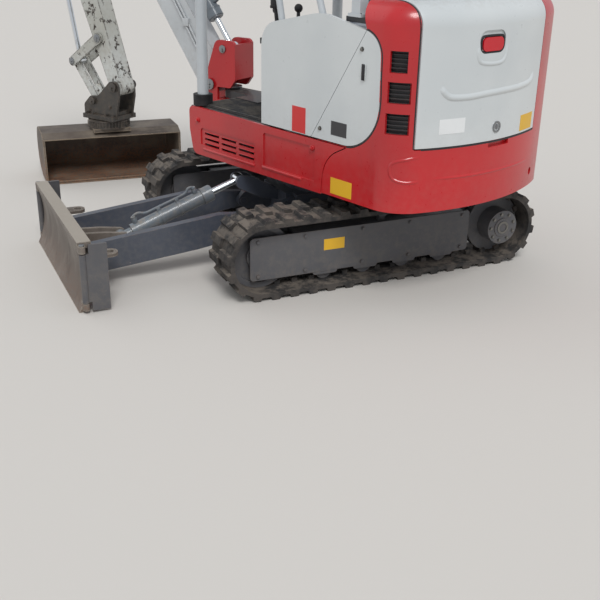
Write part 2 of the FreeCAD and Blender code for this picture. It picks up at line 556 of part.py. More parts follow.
sides = [box(-280, 40, y - 55, y + 55, 985, 1010) for y in (-REST_Y, REST_Y)]
legs = [box(-200, -60, y - 20, y + 20, 700, 990) for y in (20 - REST_Y, REST_Y - 20)]
sticks = [fuse(rod((-20, y, 1005), (0, y, 1150), 9), rod((0, y, 1145), (2, y, 1240), 22)) for y in (-REST_Y, REST_Y)]
house["pedal_console"] = fuse(console, *levers)
arm_left = fuse(sides[1], legs[1], sticks[1], box(-200, -60, BOX_HW, BOX_HW + 30, 700, 760))
house["armrests"] = group(arm_left, arm_left.mirror(V(0, 0, 0), V(0, 1, 0)))

# canopy
posts = []
for y in (-POST_Y, POST_Y):
    posts.append(fuse(rod((432, y, FLOOR_Z[1]), (432, y, ROOF_Z - 20), 27), rod((432, y, FLOOR_Z[1]), (432, y, 690), 40)))
    posts.append(fuse(box(REAR_POST - 23, REAR_POST + 23, y - 22, y + 22, 1160, ROOF_Z - 20),
                      box(REAR_POST - 33, REAR_POST + 37, y - 28, y + 28, 1160, 1172)))
rails = [rod((x, -POST_Y, ROOF_Z - 70), (x, POST_Y, ROOF_Z - 70), 20) for x in (432, REAR_POST)]
house["canopy_posts"] = fuse(*posts, *rails)
roof = plan([(520, POST_Y + 60, 90), (REAR_POST - 111, POST_Y + 60, 90), (REAR_POST - 111, -POST_Y - 60, 90),
             (520, -POST_Y - 60, 90)], ROOF_Z - 20, ROOF_Z + 30)
house["canopy_roof"] = roof

# grab rail on the side panel
rail_path = [V(x, HOUSE_HW - 28, z) for x, z in ((-178, 1100), (-118, 1350), (-330, 1392), (568 - TAIL_R, 1140))]
rail = fuse(*[fuse(rod(tuple(a), tuple(b), 14), Part.makeSphere(14, b)) for a, b in zip(rail_path, rail_path[1:])])
house["grab_rail"] = rail


# front linkage, drawn in the boom's own plane
# Point s along p to q and n to its left
def along(p, q, s, n):
    d = math.hypot(q[0] - p[0], q[1] - p[1])
    u = ((q[0] - p[0]) / d, (q[1] - p[1]) / d)
    return (p[0] + u[0] * s - u[1] * n, p[1] + u[1] * s + u[0] * n)


# swing post: boss on the swing pin, two cheeks, cross plate
boss = tube((0, 0, 447), (0, 0, 593), 46, 27 + FIT)
web = box(36, 78, -82, 82, 452, 588)
cheek = [(56, 452, 20), (150, 480, 40), (168, 660, 50), (118, 745, 40), (62, 898, 40), (-64, 898, 30), (-64, 700, 16),
         (-30, 655, 16), (56, 655, 4)]
cheeks = [side(cheek, y, y + 18) for y in (-82, 64)]
back = box(-64, -52, -82, 82, 700, 880)
foot_pin = pin(FOOT, 20, -90, 90)
post = fuse(boss, web, back, foot_pin, *cheeks)
lug_a = math.radians(SWING_ARM[1])
lug_x, lug_y = SWING_ARM[0] * math.cos(lug_a), SWING_ARM[0] * math.sin(lug_a)
swing_lug = fuse(plan([(20, -30, 0), (-20, -30, 0), (lug_x - 24, lug_y, 0), (lug_x + 24, lug_y, 0)], 530, 560),
                 rod((lug_x, lug_y, 530), (lug_x, lug_y, 560), 24))
front["swing_post"] = fuse(post, swing_lug).cut(rod((0, 0, 400), (0, 0, 640), 27 + FIT))

# boom: box section from the foot over the knee to its end
BHW = 52
low = [along(FOOT, KNEE, s, n) for s, n in ((-40, -66), (60, -92), (820, -104))]
top_side = [along(FOOT, KNEE, s, n) for s, n in ((900, 96), (120, 92), (-40, 60))]
nose_low = [along(KNEE, BOOM_TIP, s, n) for s, n in ((150, -104), (560, -62), (700, -58))]
nose_top = [along(KNEE, BOOM_TIP, s, n) for s, n in ((700, 58), (560, 66), (60, 90))]
boom_pts = [low[0] + (50,), low[1] + (0,), low[2] + (160,), nose_low[0] + (0,), nose_low[1] + (0,), nose_low[2] + (55,),
            nose_top[0] + (55,), nose_top[1] + (0,), nose_top[2] + (90,), top_side[1] + (0,), top_side[2] + (50,)]
boom = side(boom_pts, -BHW, BHW)
inner = Part.Face(outline(boom_pts).makeOffset2D(-11)).extrude(V(0, 0, 2 * BHW - 20))
inner.rotate(V(0, 0, 0), V(1, 0, 0), 90)
inner.translate(V(0, BHW - 10, 0))
boom = boom.cut(inner)
boom = fuse(boom, pin(FOOT, 48, -BHW, BHW), pin(BOOM_TIP, 48, -BHW, BHW)).cut(pin(FOOT, 20 + FIT, -90, 90))
boom = boom.cut(pin(BOOM_TIP, 18 + FIT, -90, 90))
BOOM_EAR = along(FOOT, KNEE, *BOOM_EAR_AT)
ARM_EAR = along(FOOT, KNEE, *ARM_EAR_AT)
ears = []
for tip, at in ((BOOM_EAR, BOOM_EAR_AT), (ARM_EAR, ARM_EAR_AT)):
    root = along(FOOT, KNEE, at[0], 78)
    for y in (-44, 28):
        ears.append(bar(root, tip, 60, 30, y, y + 16))
    ears.append(pin(tip, 15, -48, 48))
front["boom"] = fuse(boom, *ears)

front["boom_barrel"] = barrel(BOOM_EAR, KING_EYE, 38, 16.5, 0, 400, 28, 15, 24)
front["boom_rod"] = piston(BOOM_EAR, KING_EYE, 15.5, 0, 112, 28, 13, 24)

# arm: box section from its end pin to the lever above the boom's end
def on_arm(s, n):
    return along(ARM_END, BOOM_TIP, s, n)


AHW = 52
arm_pts = [on_arm(s, n) + (r,) for s, n, r in (
    (-50, -46, 44), (260, -66, 0), (1040, -112, 60), (1400, -122, 20), (1410, -78, 10), (1262, -76, 0),
    (1180, -42, 0), (1120, 0, 0), (1060, 58, 20), (940, 62, 0), (200, 46, 0), (-50, 44, 42))]
front_arm = side(arm_pts, -AHW, AHW)
inner = side([on_arm(s, n) + (0,) for s, n in (
    (90, -46), (260, -55), (1035, -100), (1240, -106), (1150, -40), (1060, 30), (940, 50), (200, 36), (90, 33))],
    -AHW + 9, AHW - 9)
front_arm = front_arm.cut(inner)
ears = []
for y in (-73, 58):
    plate = side([on_arm(s, n) + (r,) for s, n, r in (
        (1010, -104, 0), (1400, -122, 20), (1515, -110, 34), (1515, -36, 34), (1330, 62, 60), (1180, 66, 40), (1010, 40, 0))],
        y, y + 15)
    ears.append(plate)
for y in (-60, 50):
    ears.append(side([on_arm(s, n) + (0,) for s, n in ((1010, -104), (1380, -118), (1380, -84), (1255, -82), (1160, -44), (1010, -40))],
                     y, y + 10))
for y in (-44, 28):
    ears.append(bar(on_arm(1128, -84), BUCKET_CYL, 46, 30, y, y + 16))
pins = [pin(BUCKET_CYL, 15, -48, 48), pin(BOOM_TIP, 18, -80, 80)]
lever = [pin(ARM_LEVER, 26, -73, -58), pin(ARM_LEVER, 26, 58, 73)]
front_arm = fuse(front_arm, *ears, *pins, *lever)
for p, r in ((ARM_END, 18), (LINK_PIVOT, 16)):
    front_arm = front_arm.cut(pin(p, r + FIT, -100, 100))
front["arm"] = front_arm

front["arm_barrel"] = barrel(ARM_EAR, ARM_LEVER, 36, 16.5, 0, 560, 28, 15, 24, 70)
front["arm_rod"] = piston(ARM_EAR, ARM_LEVER, 15.5, 0, 520, 28, 13, 24)
front["bucket_barrel"] = barrel(BUCKET_CYL, LINK_TOP, 32, 15.5, 0, 560, 28, 15, 24)
front["bucket_rod"] = piston(BUCKET_CYL, LINK_TOP, 14.5, 0, 480, 26, 13, 22)

# linkage to the hitch
links = [bar(LINK_PIVOT, LINK_TOP, 30, 27, y, y + 12) for y in (-70, 58)]
stubs = [pin(LINK_TOP, 13, 27, 70), pin(LINK_TOP, 13, -70, -27)]
front["side_links"] = fuse(*links, *stubs, pin(LINK_PIVOT, 16, -70, 70))
forks = [bar(LINK_TOP, HITCH_PIN, 26, 24, y, y + 14) for y in (-42, 28)]
mid_low = ((LINK_TOP[0] * 0.3 + HITCH_PIN[0] * 0.7), (LINK_TOP[1] * 0.3 + HITCH_PIN[1] * 0.7))
web = bar(mid_low, HITCH_PIN, 18, 20, -42, 42)
front["bucket_link"] = fuse(*forks, web).cut(pin(LINK_TOP, 13 + FIT, -80, 80))

# hitch: two ears on a deep frame, with the turning head below
cheek = [(ARM_END[0] - 2, 372, 0), (ROTOR_X + 126, 372, 0), (ROTOR_X + 126, 440, 30), (HITCH_PIN[0] + 24, HITCH_PIN[1] + 28, 26),
         (HITCH_PIN[0] - 40, HITCH_PIN[1] + 34, 26), (ARM_END[0] + 30, 592, 32), (ARM_END[0] - 34, 592, 32), (ARM_END[0] - 34, 500, 20)]
cheeks = [side(cheek, y, y + 14) for y in (-73, 59)]
tray = box(ROTOR_X - 126, ROTOR_X + 118, -98, 98, ROTOR_Z[1], ROTOR_Z[1] + 26)
wall = box(ROTOR_X - 110, ROTOR_X + 75, -60, 60, ROTOR_Z[1] + 20, 408)
stub = [pin(HITCH_PIN, 15, 59, 84), pin(HITCH_PIN, 15, -84, -59)]
front["hitch"] = fuse(tray, wall, pin(ARM_END, 18, -84, 84), *cheeks, *stub)

# bucket frame: origin on the turning axis, X away from the mouth
MOUTH = -102.0
BACK = 275.0
BUCKET_TOP = 296.0
LIP_Z = 18.0
BUCKET_SKIN = 9.0
outer = [(MOUTH, LIP_Z - 8, 0), (MOUTH + 190, 12, 130), (BACK, 60, 120), (BACK, BUCKET_TOP, 130), (MOUTH + 60, BUCKET_TOP, 20),
         (MOUTH - 2, BUCKET_TOP - 28, 0)]
shell = side(outer, -BUCKET_HW, BUCKET_HW)
core = side([(MOUTH - 60, LIP_Z, 0), (MOUTH + 190, 12 + BUCKET_SKIN, 121), (BACK - BUCKET_SKIN, 62, 112), (BACK - BUCKET_SKIN, BUCKET_TOP - BUCKET_SKIN, 121),
             (MOUTH + 60, BUCKET_TOP - BUCKET_SKIN, 20), (MOUTH - 60, BUCKET_TOP - BUCKET_SKIN - 46, 0)], -BUCKET_HW + 12, BUCKET_HW - 12)
shell = shell.cut(core)
edge = side([(MOUTH - 8, LIP_Z - 16, 0), (MOUTH - 8, LIP_Z - 12, 0), (MOUTH + 70, LIP_Z, 0), (MOUTH + 70, LIP_Z - 16, 0)],
            -BUCKET_HW, BUCKET_HW)
pad = box(-120 + 22, 150, -110, 110, BUCKET_TOP - 4, ROTOR_Z[0] - 6)
webs = [side([(MOUTH + 40, BUCKET_TOP - 6, 0), (MOUTH + 60, ROTOR_Z[0] - 6, 0), (190, ROTOR_Z[0] - 6, 0), (232, 230, 0),
              (200, 230, 0)], y, y + 14) for y in (-104, 90)]
tool["bucket"] = fuse(shell, edge, pad, *[w.cut(core) for w in webs])
head = fuse(rod((0, 0, ROTOR_Z[0] - 6), (0, 0, ROTOR_Z[1] - 5), 118), rod((0, 0, ROTOR_Z[1] - 6), (0, 0, ROTOR_Z[1] - 0.0), 60))
tool["turning_head"] = head


# swing cylinder, lying under the floor on the right
def to_house(p):
    a = math.radians(SWING)
    return (KING_X + p[0] * math.cos(a) - p[1] * math.sin(a), p[0] * math.sin(a) + p[1] * math.cos(a))


SWING_EYE = to_house((lug_x, lug_y))


# Turn a cylinder drawn upright in the XZ plane to lie at the swing cylinder's height
def flat_cylinder(shape):
    shape.rotate(V(0, 0, 0), V(1, 0, 0), 90)
    shape.translate(V(0, 0, SWING_Z))
    return shape


sb, se = (SWING_BASE[0], -SWING_BASE[1]), (SWING_EYE[0], -SWING_EYE[1])
house["swing_barrel"] = flat_cylinder(barrel(sb, se, 29, 14.5, 0, 400, 27, 15, 22))
house["swing_rod"] = flat_cylinder(piston(sb, se, 13.5, 0, 360, 24, 11, 9))


def to_machine(shape):
    shape.rotate(V(0, 0, 0), V(0, 0, 1), SLEW)
    return shape


def to_boom(shape):
    shape.rotate(V(0, 0, 0), V(0, 0, 1), SWING)
    shape.translate(V(KING_X, 0, 0))
    return to_machine(shape)


def to_bucket(shape):
    shape.rotate(V(0, 0, 0), V(0, 0, 1), TURN - 180)
    shape.translate(V(ROTOR_X, 0, 0))
    return to_boom(shape)


nodes = dict(under)
nodes.update({k: to_machine(s) for k, s in house.items()})
nodes.update({k: to_boom(s) for k, s in front.items()})
nodes.update({k: to_bucket(s) for k, s in tool.items()})

# row frame: the origin moves to the middle of the whole outline, on the ground
whole = Part.makeCompound(list(nodes.values())).optimalBoundingBox(False, False)
SHIFT = V(-(whole.XMin + whole.XMax) / 2, -(whole.YMin + whole.YMax) / 2, -whole.ZMin)
for name, shape in nodes.items():
    shape.translate(SHIFT)
    shape.exportStep("parts/" + name + ".step")
print(len(nodes), "nodes", whole)
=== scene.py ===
import json
import math
import bpy
import bmesh
from mathutils import Matrix, Vector
from mathutils.bvhtree import BVHTree


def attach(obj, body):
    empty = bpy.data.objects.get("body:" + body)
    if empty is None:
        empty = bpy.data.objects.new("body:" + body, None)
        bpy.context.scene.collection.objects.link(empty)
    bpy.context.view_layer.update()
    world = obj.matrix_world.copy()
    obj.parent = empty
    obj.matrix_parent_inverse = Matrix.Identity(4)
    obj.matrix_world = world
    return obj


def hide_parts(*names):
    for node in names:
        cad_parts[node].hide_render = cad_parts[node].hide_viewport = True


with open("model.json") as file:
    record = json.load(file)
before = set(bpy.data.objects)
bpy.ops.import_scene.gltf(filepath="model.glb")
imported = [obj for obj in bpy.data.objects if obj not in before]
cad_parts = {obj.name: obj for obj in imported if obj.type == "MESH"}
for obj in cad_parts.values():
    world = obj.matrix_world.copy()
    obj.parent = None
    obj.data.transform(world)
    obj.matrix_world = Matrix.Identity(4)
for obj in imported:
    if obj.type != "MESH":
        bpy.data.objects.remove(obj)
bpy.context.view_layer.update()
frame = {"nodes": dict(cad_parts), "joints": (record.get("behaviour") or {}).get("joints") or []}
nodes = frame["nodes"]
print("frame loaded:", len(nodes), "nodes")

# places of the machine's frames, read from the joints
pivots = {j["name"]: Vector(j["pos_m"]) for j in frame["joints"] if "pos_m" in j}
axes = {j["name"]: Vector(j["axis"]) for j in frame["joints"]}
upward = Vector((0, 0, 1))


def frameAt(origin, leftward):    # X ahead, Y to the left, Z up from the ground
    y = Vector(leftward).normalized()
    x = y.cross(upward)
    turn = Matrix((x, y, upward)).transposed().to_4x4()
    return Matrix.Translation((origin.x, origin.y, 0)) @ turn


machine = frameAt(pivots["slew"], (0, 1, 0))
house = frameAt(pivots["slew"], axes["hood_lift"])
boomFrame = frameAt(pivots["boom_swing"], axes["boom_lift"])


# shader maths
class Signal:    # a socket whose operators add Math nodes
    def __init__(self, finish, socket):
        self.finish = finish
        self.socket = socket

    def maths(self, operation, other=None, turned=False, clamped=False):
        pair = [self, other]
        if turned:
            pair.reverse()
        sockets = {i: v for i, v in enumerate(pair) if v is not None}
        return self.finish.node("ShaderNodeMath", {"operation": operation, "use_clamp": clamped}, sockets)

    def __add__(self, other):
        return self.maths("ADD", other)

    def __sub__(self, other):
        return self.maths("SUBTRACT", other)

    def __rsub__(self, other):
        return self.maths("SUBTRACT", other, True)

    def __mul__(self, other):
        return self.maths("MULTIPLY", other)

    __radd__ = __add__
    __rmul__ = __mul__

    def between(self, low, high):    # 0 below low, 1 above high, smooth between them
        return self.finish.node("ShaderNodeMapRange", {"interpolation_type": "SMOOTHSTEP"},
                                {"Value": self, "From Min": low, "From Max": high})

    def most(self, other):
        return self.maths("MAXIMUM", other, clamped=True)


socketNames = {"colour": "Base Color", "rough": "Roughness", "metal": "Metallic", "coat": "Coat Weight",
               "coatRough": "Coat Roughness", "normal": "Normal", "specular": "Specular IOR Level"}


class Finish:    # one material
    def __init__(self, name):
        self.material = bpy.data.materials.new(name)
        self.material.use_nodes = True
        self.tree = self.material.node_tree
        self.shader = self.tree.nodes["Principled BSDF"]
        self.place = self.node("ShaderNodeTexCoord", {}, {}, "Object")

    def node(self, kind, settings, sockets, output=0):
        made = self.tree.nodes.new(kind)
        for key, value in settings.items():
            setattr(made, key, value)
        for key, value in sockets.items():
            self.feed(made.inputs[key], value)
        return Signal(self, made.outputs[output])

    def feed(self, socket, value):
        if isinstance(value, Signal):
            self.tree.links.new(value.socket, socket)
        else:
            socket.default_value = value

    def noise(self, scale, detail=4.0, roughness=0.6, stretch=None):
        where = self.place
        if stretch:
            where = self.node("ShaderNodeMapping", {}, {"Vector": where, "Scale": stretch})
        sockets = {"Vector": where, "Scale": scale, "Detail": detail, "Roughness": roughness}
        return self.node("ShaderNodeTexNoise", {}, sockets)

    def cells(self, scale):
        return self.node("ShaderNodeTexVoronoi", {}, {"Vector": self.place, "Scale": scale})

    def height(self):
        return self.node("ShaderNodeSeparateXYZ", {}, {0: self.place}, 2)

    def facing(self):    # how far the surface faces up
        normal = self.node("ShaderNodeNewGeometry", {}, {}, "Normal")
        return self.node("ShaderNodeSeparateXYZ", {}, {0: normal}, 2)

    def edges(self, radius):     # bright where the surface bends within the radius
        rounded = self.node("ShaderNodeBevel", {"samples": 4}, {"Radius": radius})
        flat = self.node("ShaderNodeNewGeometry", {}, {}, "Normal")
        pair = {0: rounded, 1: flat}
        return 1 - self.node("ShaderNodeVectorMath", {"operation": "DOT_PRODUCT"}, pair, "Value")

    def mix(self, factor, first, second):
        settings = {"data_type": "RGBA", "blend_type": "MIX"}
        return self.node("ShaderNodeMix", settings, {0: factor, 6: first, 7: second}, 2)

    def bump(self, height, strength, distance):
        sockets = {"Height": height, "Strength": strength, "Distance": distance}
        return self.node("ShaderNodeBump", {}, sockets)

    def set(self, **values):
        for name, value in values.items():
            self.feed(self.shader.inputs[socketNames[name]], value)
        return self.material


def rgb(r, g, b):    # a screen colour, 0 to 255, as the shader's linear one
    def linear(v):
        v = v / 255
        return v / 12.92 if v <= 0.04045 else ((v + 0.055) / 1.055) ** 2.4
    return (linear(r), linear(g), linear(b), 1.0)


# finishes
def paint(name, look):    # sprayed paint with fading, dust, chips and worn edges
    f = Finish(name)
    broad = f.noise(look["patch"], 3, 0.5)
    colour = f.mix(broad.between(0.35, 0.7), look["colour"], look["faded"])
    fine = f.noise(38, 6, 0.65)
    level = f.facing().between(0.5, 0.95)
    low = 1 - f.height().between(look["dustLow"], look["dustHigh"])
    dust = (level * 0.5 + low * 0.8) * fine.between(0.38, 0.72) * look["dust"]
    colour = f.mix(dust, colour, look["dustColour"])
    streak = f.noise(9, 5, 0.7, (1, 1, 0.12)).between(0.56, 0.8) * look["streak"]
    colour = f.mix(streak, colour, look["dirt"])
    rough = fine * 0.16 + look["rough"]
    rough = rough + dust * 0.35
    metal = 0.0
    if look["chips"]:
        edge = f.edges(look["edge"]).between(0.02, 0.2) * f.noise(30, 5, 0.7).between(0.42, 0.52)
        spots = f.noise(look["chipSize"], 7, 0.75).between(look["chipFrom"], look["chipFrom"] + 0.02)
        worn = edge.most(spots) * look["chips"]
        colour = f.mix(worn, colour, f.mix(f.noise(60, 4), look["bare"], look["rust"]))
        rough = rough + worn * 0.2
        metal = worn * 0.35
        normal = f.bump(fine * 0.2 - worn, 0.35, 0.0012)
    else:
        normal = f.bump(fine, 0.05, 0.0006)
    return f.set(colour=colour, rough=rough, metal=metal, coat=look["coat"], coatRough=0.12, normal=normal)


paintLook = {"patch": 2.2, "faded": rgb(200, 200, 198), "dust": 0.5, "dustLow": 0.05, "dustHigh": 0.9,
             "dustColour": rgb(150, 138, 122), "streak": 0.12, "dirt": rgb(120, 112, 102), "rough": 0.22,
             "coat": 0.35, "chips": 0, "edge": 0.004, "chipSize": 24, "chipFrom": 0.68,
             "bare": rgb(70, 62, 58), "rust": rgb(96, 66, 50)}
paleGrey = paint("paleGrey", {**paintLook, "colour": rgb(206, 210, 210), "faded": rgb(196, 201, 202),
                              "dust": 0.35, "dustLow": 0.3, "streak": 0.05, "coat": 0.6})
redPaint = paint("redPaint", {**paintLook, "colour": rgb(192, 28, 34), "faded": rgb(174, 30, 36), "dust": 0.2,
                              "dustLow": 0.25, "dustColour": rgb(170, 110, 100), "streak": 0.16,
                              "dirt": rgb(140, 52, 50)})
boomGrey = paint("boomGrey", {**paintLook, "colour": rgb(198, 202, 204), "faded": rgb(184, 188, 190),
                              "dustHigh": 1.4, "streak": 0.35, "dirt": rgb(128, 122, 114), "chips": 0.9,
                              "coat": 0.25})
armGrey = paint("armGrey", {**paintLook, "colour": rgb(198, 200, 196), "faded": rgb(172, 172, 164),
                            "dust": 0.7, "dustHigh": 1.6, "streak": 0.8, "dirt": rgb(112, 104, 94),
                            "chips": 1.0, "edge": 0.014, "chipSize": 21, "chipFrom": 0.57, "coat": 0.1,
                            "rough": 0.34,
                            "bare": rgb(52, 48, 46), "rust": rgb(74, 62, 54)})
postGrey = paint("postGrey", {**paintLook, "colour": rgb(188, 193, 196), "faded": rgb(178, 184, 188),
                              "dust": 0.2, "streak": 0.1})
charcoal = paint("charcoal", {**paintLook, "colour": rgb(86, 86, 89), "faded": rgb(76, 76, 80), "dust": 0.45,
                              "dustHigh": 0.4, "dustColour": rgb(122, 114, 104), "streak": 0.3,
                              "dirt": rgb(98, 92, 84), "chips": 0.7, "chipFrom": 0.72, "coat": 0.15,
                              "rough": 0.4, "bare": rgb(120, 116, 112)})
armBlue = paint("armBlue", {**paintLook, "colour": rgb(76, 81, 92), "faded": rgb(66, 71, 82), "dust": 0.32,
                            "dustHigh": 0.45, "dustColour": rgb(120, 116, 110), "streak": 0.25,
                            "dirt": rgb(92, 88, 84), "chips": 0.9, "edge": 0.006, "coat": 0.2, "rough": 0.36,
                            "bare": rgb(150, 152, 154)})
blackSteel = paint("blackSteel", {**paintLook, "colour": rgb(46, 47, 50), "faded": rgb(40, 41, 44),
                                  "dust": 0.6, "dustHigh": 0.8, "streak": 0.2, "dirt": rgb(84, 78, 70),
                                  "chips": 0.5, "coat": 0.1, "rough": 0.42})
cylinderGrey = paint("cylinderGrey", {**paintLook, "colour": rgb(112, 121, 128), "faded": rgb(94, 101, 108),
                                      "dust": 0.6, "dustHigh": 0.6, "streak": 0.4, "dirt": rgb(80, 78, 74),
                                      "chips": 0.8, "coat": 0.3, "rough": 0.32, "bare": rgb(170, 172, 172)})
engineGrey = paint("engineGrey", {**paintLook, "colour": rgb(96, 98, 100), "faded": rgb(84, 86, 90),
                                  "rough": 0.5, "coat": 0.0})
hitchBlack = paint("hitchBlack", {**paintLook, "colour": rgb(58, 54, 50), "faded": rgb(44, 42, 40),
                                  "dust": 0.8, "dustColour": rgb(104, 92, 78), "streak": 0.5,
                                  "dirt": rgb(30, 28, 26), "chips": 0.9, "rough": 0.36,
                                  "bare": rgb(128, 122, 114)})


def trackRubber(name, look):    # dusty moulded rubber
    f = Finish(name)
    grime = f.noise(14, 6, 0.7)
    lumps = f.cells(70)
    fine = f.noise(120, 4, 0.6)
    colour = f.mix(grime.between(0.36, 0.62), look["clean"], look["dusty"])
    colour = f.mix(f.facing().between(0.2, 0.9) * grime.between(0.4, 0.6) * 0.7, colour, look["mud"])
    normal = f.bump(fine * 0.5 + lumps * 0.4 + grime, 0.5, 0.003)
    return f.set(colour=colour, rough=fine * 0.1 + look["rough"], normal=normal, specular=0.3)


beltRubber = trackRubber("beltRubber", {"clean": rgb(50, 49, 49), "dusty": rgb(80, 75, 71),
                                        "mud": rgb(122, 113, 103), "rough": 0.8})
matRubber = trackRubber("matRubber", {"clean": rgb(50, 51, 53), "dusty": rgb(66, 65, 64),
                                      "mud": rgb(96, 90, 82), "rough": 0.7})
softBlack = trackRubber("softBlack", {"clean": rgb(30, 30, 32), "dusty": rgb(42, 42, 44),
                                      "mud": rgb(60, 58, 56), "rough": 0.55})


def wornSteel(name, look):    # scraped and rusted plate, with a painted highlight on its upward faces near the top
    f = Finish(name)
    broad = f.noise(5, 5, 0.6)
    scratch = f.noise(10, 7, 0.8, look["grain"])
    fine = f.noise(80, 5, 0.7)
    colour = f.mix(broad.between(0.38, 0.64), look["brown"], look["grey"])
    colour = f.mix(scratch.between(0.5, 0.66) * 0.55, colour, look["dark"])
    rustHere = (1 - f.height().between(look["rustLow"], look["rustHigh"])) * fine.between(0.4, 0.6)
    colour = f.mix(rustHere * look["rustAmount"], colour, look["rust"])
    wornEdgesAndTopHighlight = f.edges(look["edge"]).between(0.02, 0.15) * scratch.between(0.35, 0.5)
    # painted highlight: upward faces above a given height are made paler, standing in for light falling on
    # the top
    top = f.height().between(look["topHighlightFrom"], look["topHighlightFrom"] + 0.004) * f.facing().between(0.6, 0.9)
    wornEdgesAndTopHighlight = wornEdgesAndTopHighlight.most(top)
    # the pale colour marks both the bare worn edges and the painted top highlight
    colour = f.mix(wornEdgesAndTopHighlight * 0.85, colour, look["paleWearAndHighlight"])
    normal = f.bump(fine * 0.4 + scratch, 0.4, 0.0015)
    return f.set(colour=colour, rough=scratch * 0.25 + look["rough"], metal=wornEdgesAndTopHighlight * 0.4, normal=normal)


# each look gives the height above which upward faces get the painted top highlight, and the pale colour
# shared by that highlight and the bare worn edges
bladeLook = {"brown": rgb(104, 94, 86), "grey": rgb(126, 118, 110), "dark": rgb(74, 66, 60),
             "rust": rgb(112, 84, 66), "rustLow": 0.02, "rustHigh": 0.16, "rustAmount": 0.5,
             "grain": (1, 1, 0.2), "edge": 0.008, "topHighlightFrom": 0.296, "paleWearAndHighlight": rgb(176, 168, 156), "rough": 0.5}
bucketLook = {**bladeLook, "brown": rgb(84, 74, 66), "grey": rgb(112, 102, 90), "dark": rgb(54, 46, 42),
              "rust": rgb(132, 88, 60), "rustLow": 0.05, "rustHigh": 0.2, "rustAmount": 0.8,
              "grain": (0.3, 1, 1), "topHighlightFrom": 0.6, "paleWearAndHighlight": rgb(168, 150, 128)}
bladeSteel = wornSteel("bladeSteel", bladeLook)
bucketSteel = wornSteel("bucketSteel", bucketLook)


def brightSteel(name, colour, rough):    # plated or turned steel
    f = Finish(name)
    fine = f.noise(90, 4)
    grime = f.noise(16, 5).between(0.55, 0.75)
    colour = f.mix(grime * 0.35, colour, rgb(110, 102, 92))
    return f.set(colour=colour, rough=fine * 0.08 + rough + grime * 0.25, metal=1.0)


chrome = brightSteel("chrome", rgb(224, 228, 232), 0.08)
pinSteel = brightSteel("pinSteel", rgb(150, 152, 154), 0.3)
boltZinc = brightSteel("boltZinc", rgb(132, 130, 126), 0.38)


def moulded(name, colour, rough, coat=0.0, grain=0.12):    # moulded plastic or vinyl, flat without a grain
    f = Finish(name)
    fine = f.noise(160, 3)
    broad = f.noise(4, 4)
    dark = tuple(v * 0.7 for v in colour[:3]) + (1.0,)
    colour = f.mix(broad.between(0.35, 0.75) * (1 if grain else 0.3), colour, dark)
    f.set(colour=colour, rough=fine * 0.12 + rough, coat=coat)
    return f.set(normal=f.bump(fine, grain, 0.0008)) if grain else f.material


seatVinyl = moulded("seatVinyl", rgb(84, 94, 108), 0.34, 0.35, 0.2)
blackPlastic = moulded("blackPlastic", rgb(32, 32, 35), 0.42)
lampGlass = moulded("lampGlass", rgb(196, 18, 34), 0.16, 0.3, 0.0)
yellowPlate = moulded("yellowPlate", rgb(226, 176, 34), 0.4, 0.3, 0.0)
redPlate = moulded("redPlate", rgb(206, 36, 36), 0.35, 0.3, 0.0)
palePlate = moulded("palePlate", rgb(226, 228, 228), 0.35, 0.3, 0.0)
blackPlate = moulded("blackPlate", rgb(52, 52, 55), 0.4, 0.3, 0.0)

nodeFinish = {    # by how a node's name begins
    "belt": beltRubber, "track_frame": charcoal, "idler": charcoal, "rollers": charcoal,
    "track_drive": charcoal, "car_body": armBlue, "blade_arms": armBlue, "blade_barrel": cylinderGrey,
    "blade_rod": chrome, "blade": bladeSteel, "wing": charcoal, "deck": blackSteel, "floor": blackSteel,
    "skirt": redPaint, "counterweight": redPaint, "pillar": redPaint, "swing_post": redPaint,
    "panel": paleGrey, "door_left": paleGrey, "cover_right": paleGrey, "hood": paleGrey,
    "bulkhead": blackSteel, "engine": engineGrey, "seat_box": blackSteel, "seat": seatVinyl,
    "pedal_console": blackSteel, "armrests": blackPlastic, "canopy_posts": postGrey,
    "canopy_roof": paleGrey, "grab_rail": postGrey, "rear_lamp": lampGlass, "boom": boomGrey,
    "arm": armGrey, "boom_barrel": cylinderGrey, "arm_barrel": cylinderGrey, "bucket_barrel": cylinderGrey,
    "swing_barrel": cylinderGrey, "boom_rod": chrome, "arm_rod": chrome, "bucket_rod": chrome,
    "swing_rod": pinSteel, "side_links": armGrey, "bucket_link": armGrey, "hitch": hitchBlack,
    "turning_head": hitchBlack, "bucket": bucketSteel}
for nodeName, node in nodes.items():
    chosen = max((start for start in nodeFinish if nodeName.startswith(start)), key=len)
    node.data.materials.clear()
    node.data.materials.append(nodeFinish[chosen])
print("finishes made:", len(bpy.data.materials))


# pieces
def addPiece(name, bm, finish, body, place=None, smooth=30):
    if place is not None:
        bm.transform(place)
    bmesh.ops.recalc_face_normals(bm, faces=bm.faces)
    mesh = bpy.data.meshes.new(name)
    bm.to_mesh(mesh)
    bm.free()
    mesh.materials.append(finish)
    mesh.shade_smooth()
    mesh.set_sharp_from_angle(angle=math.radians(smooth))
    piece = bpy.data.objects.new(name, mesh)
    bpy.context.scene.collection.objects.link(piece)
    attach(piece, body)
    return piece


def along(direction):    # turns +Z to a direction
    return Vector(direction).to_track_quat("Z", "Y").to_matrix().to_4x4()


def addBox(bm, low, high, bevel=0.0, segments=2, place=Matrix()):
    low = Vector(low)
    high = Vector(high)
    size = Matrix.Diagonal((*(high - low), 1))
    made = bmesh.ops.create_cube(bm, size=1, matrix=place @ Matrix.Translation((low + high) / 2) @ size)
    if bevel:
        edges = list({e for v in made["verts"] for e in v.link_edges})
        bmesh.ops.bevel(bm, geom=edges, offset=bevel, segments=segments, profile=0.5, affect="EDGES",
                        material=-1)


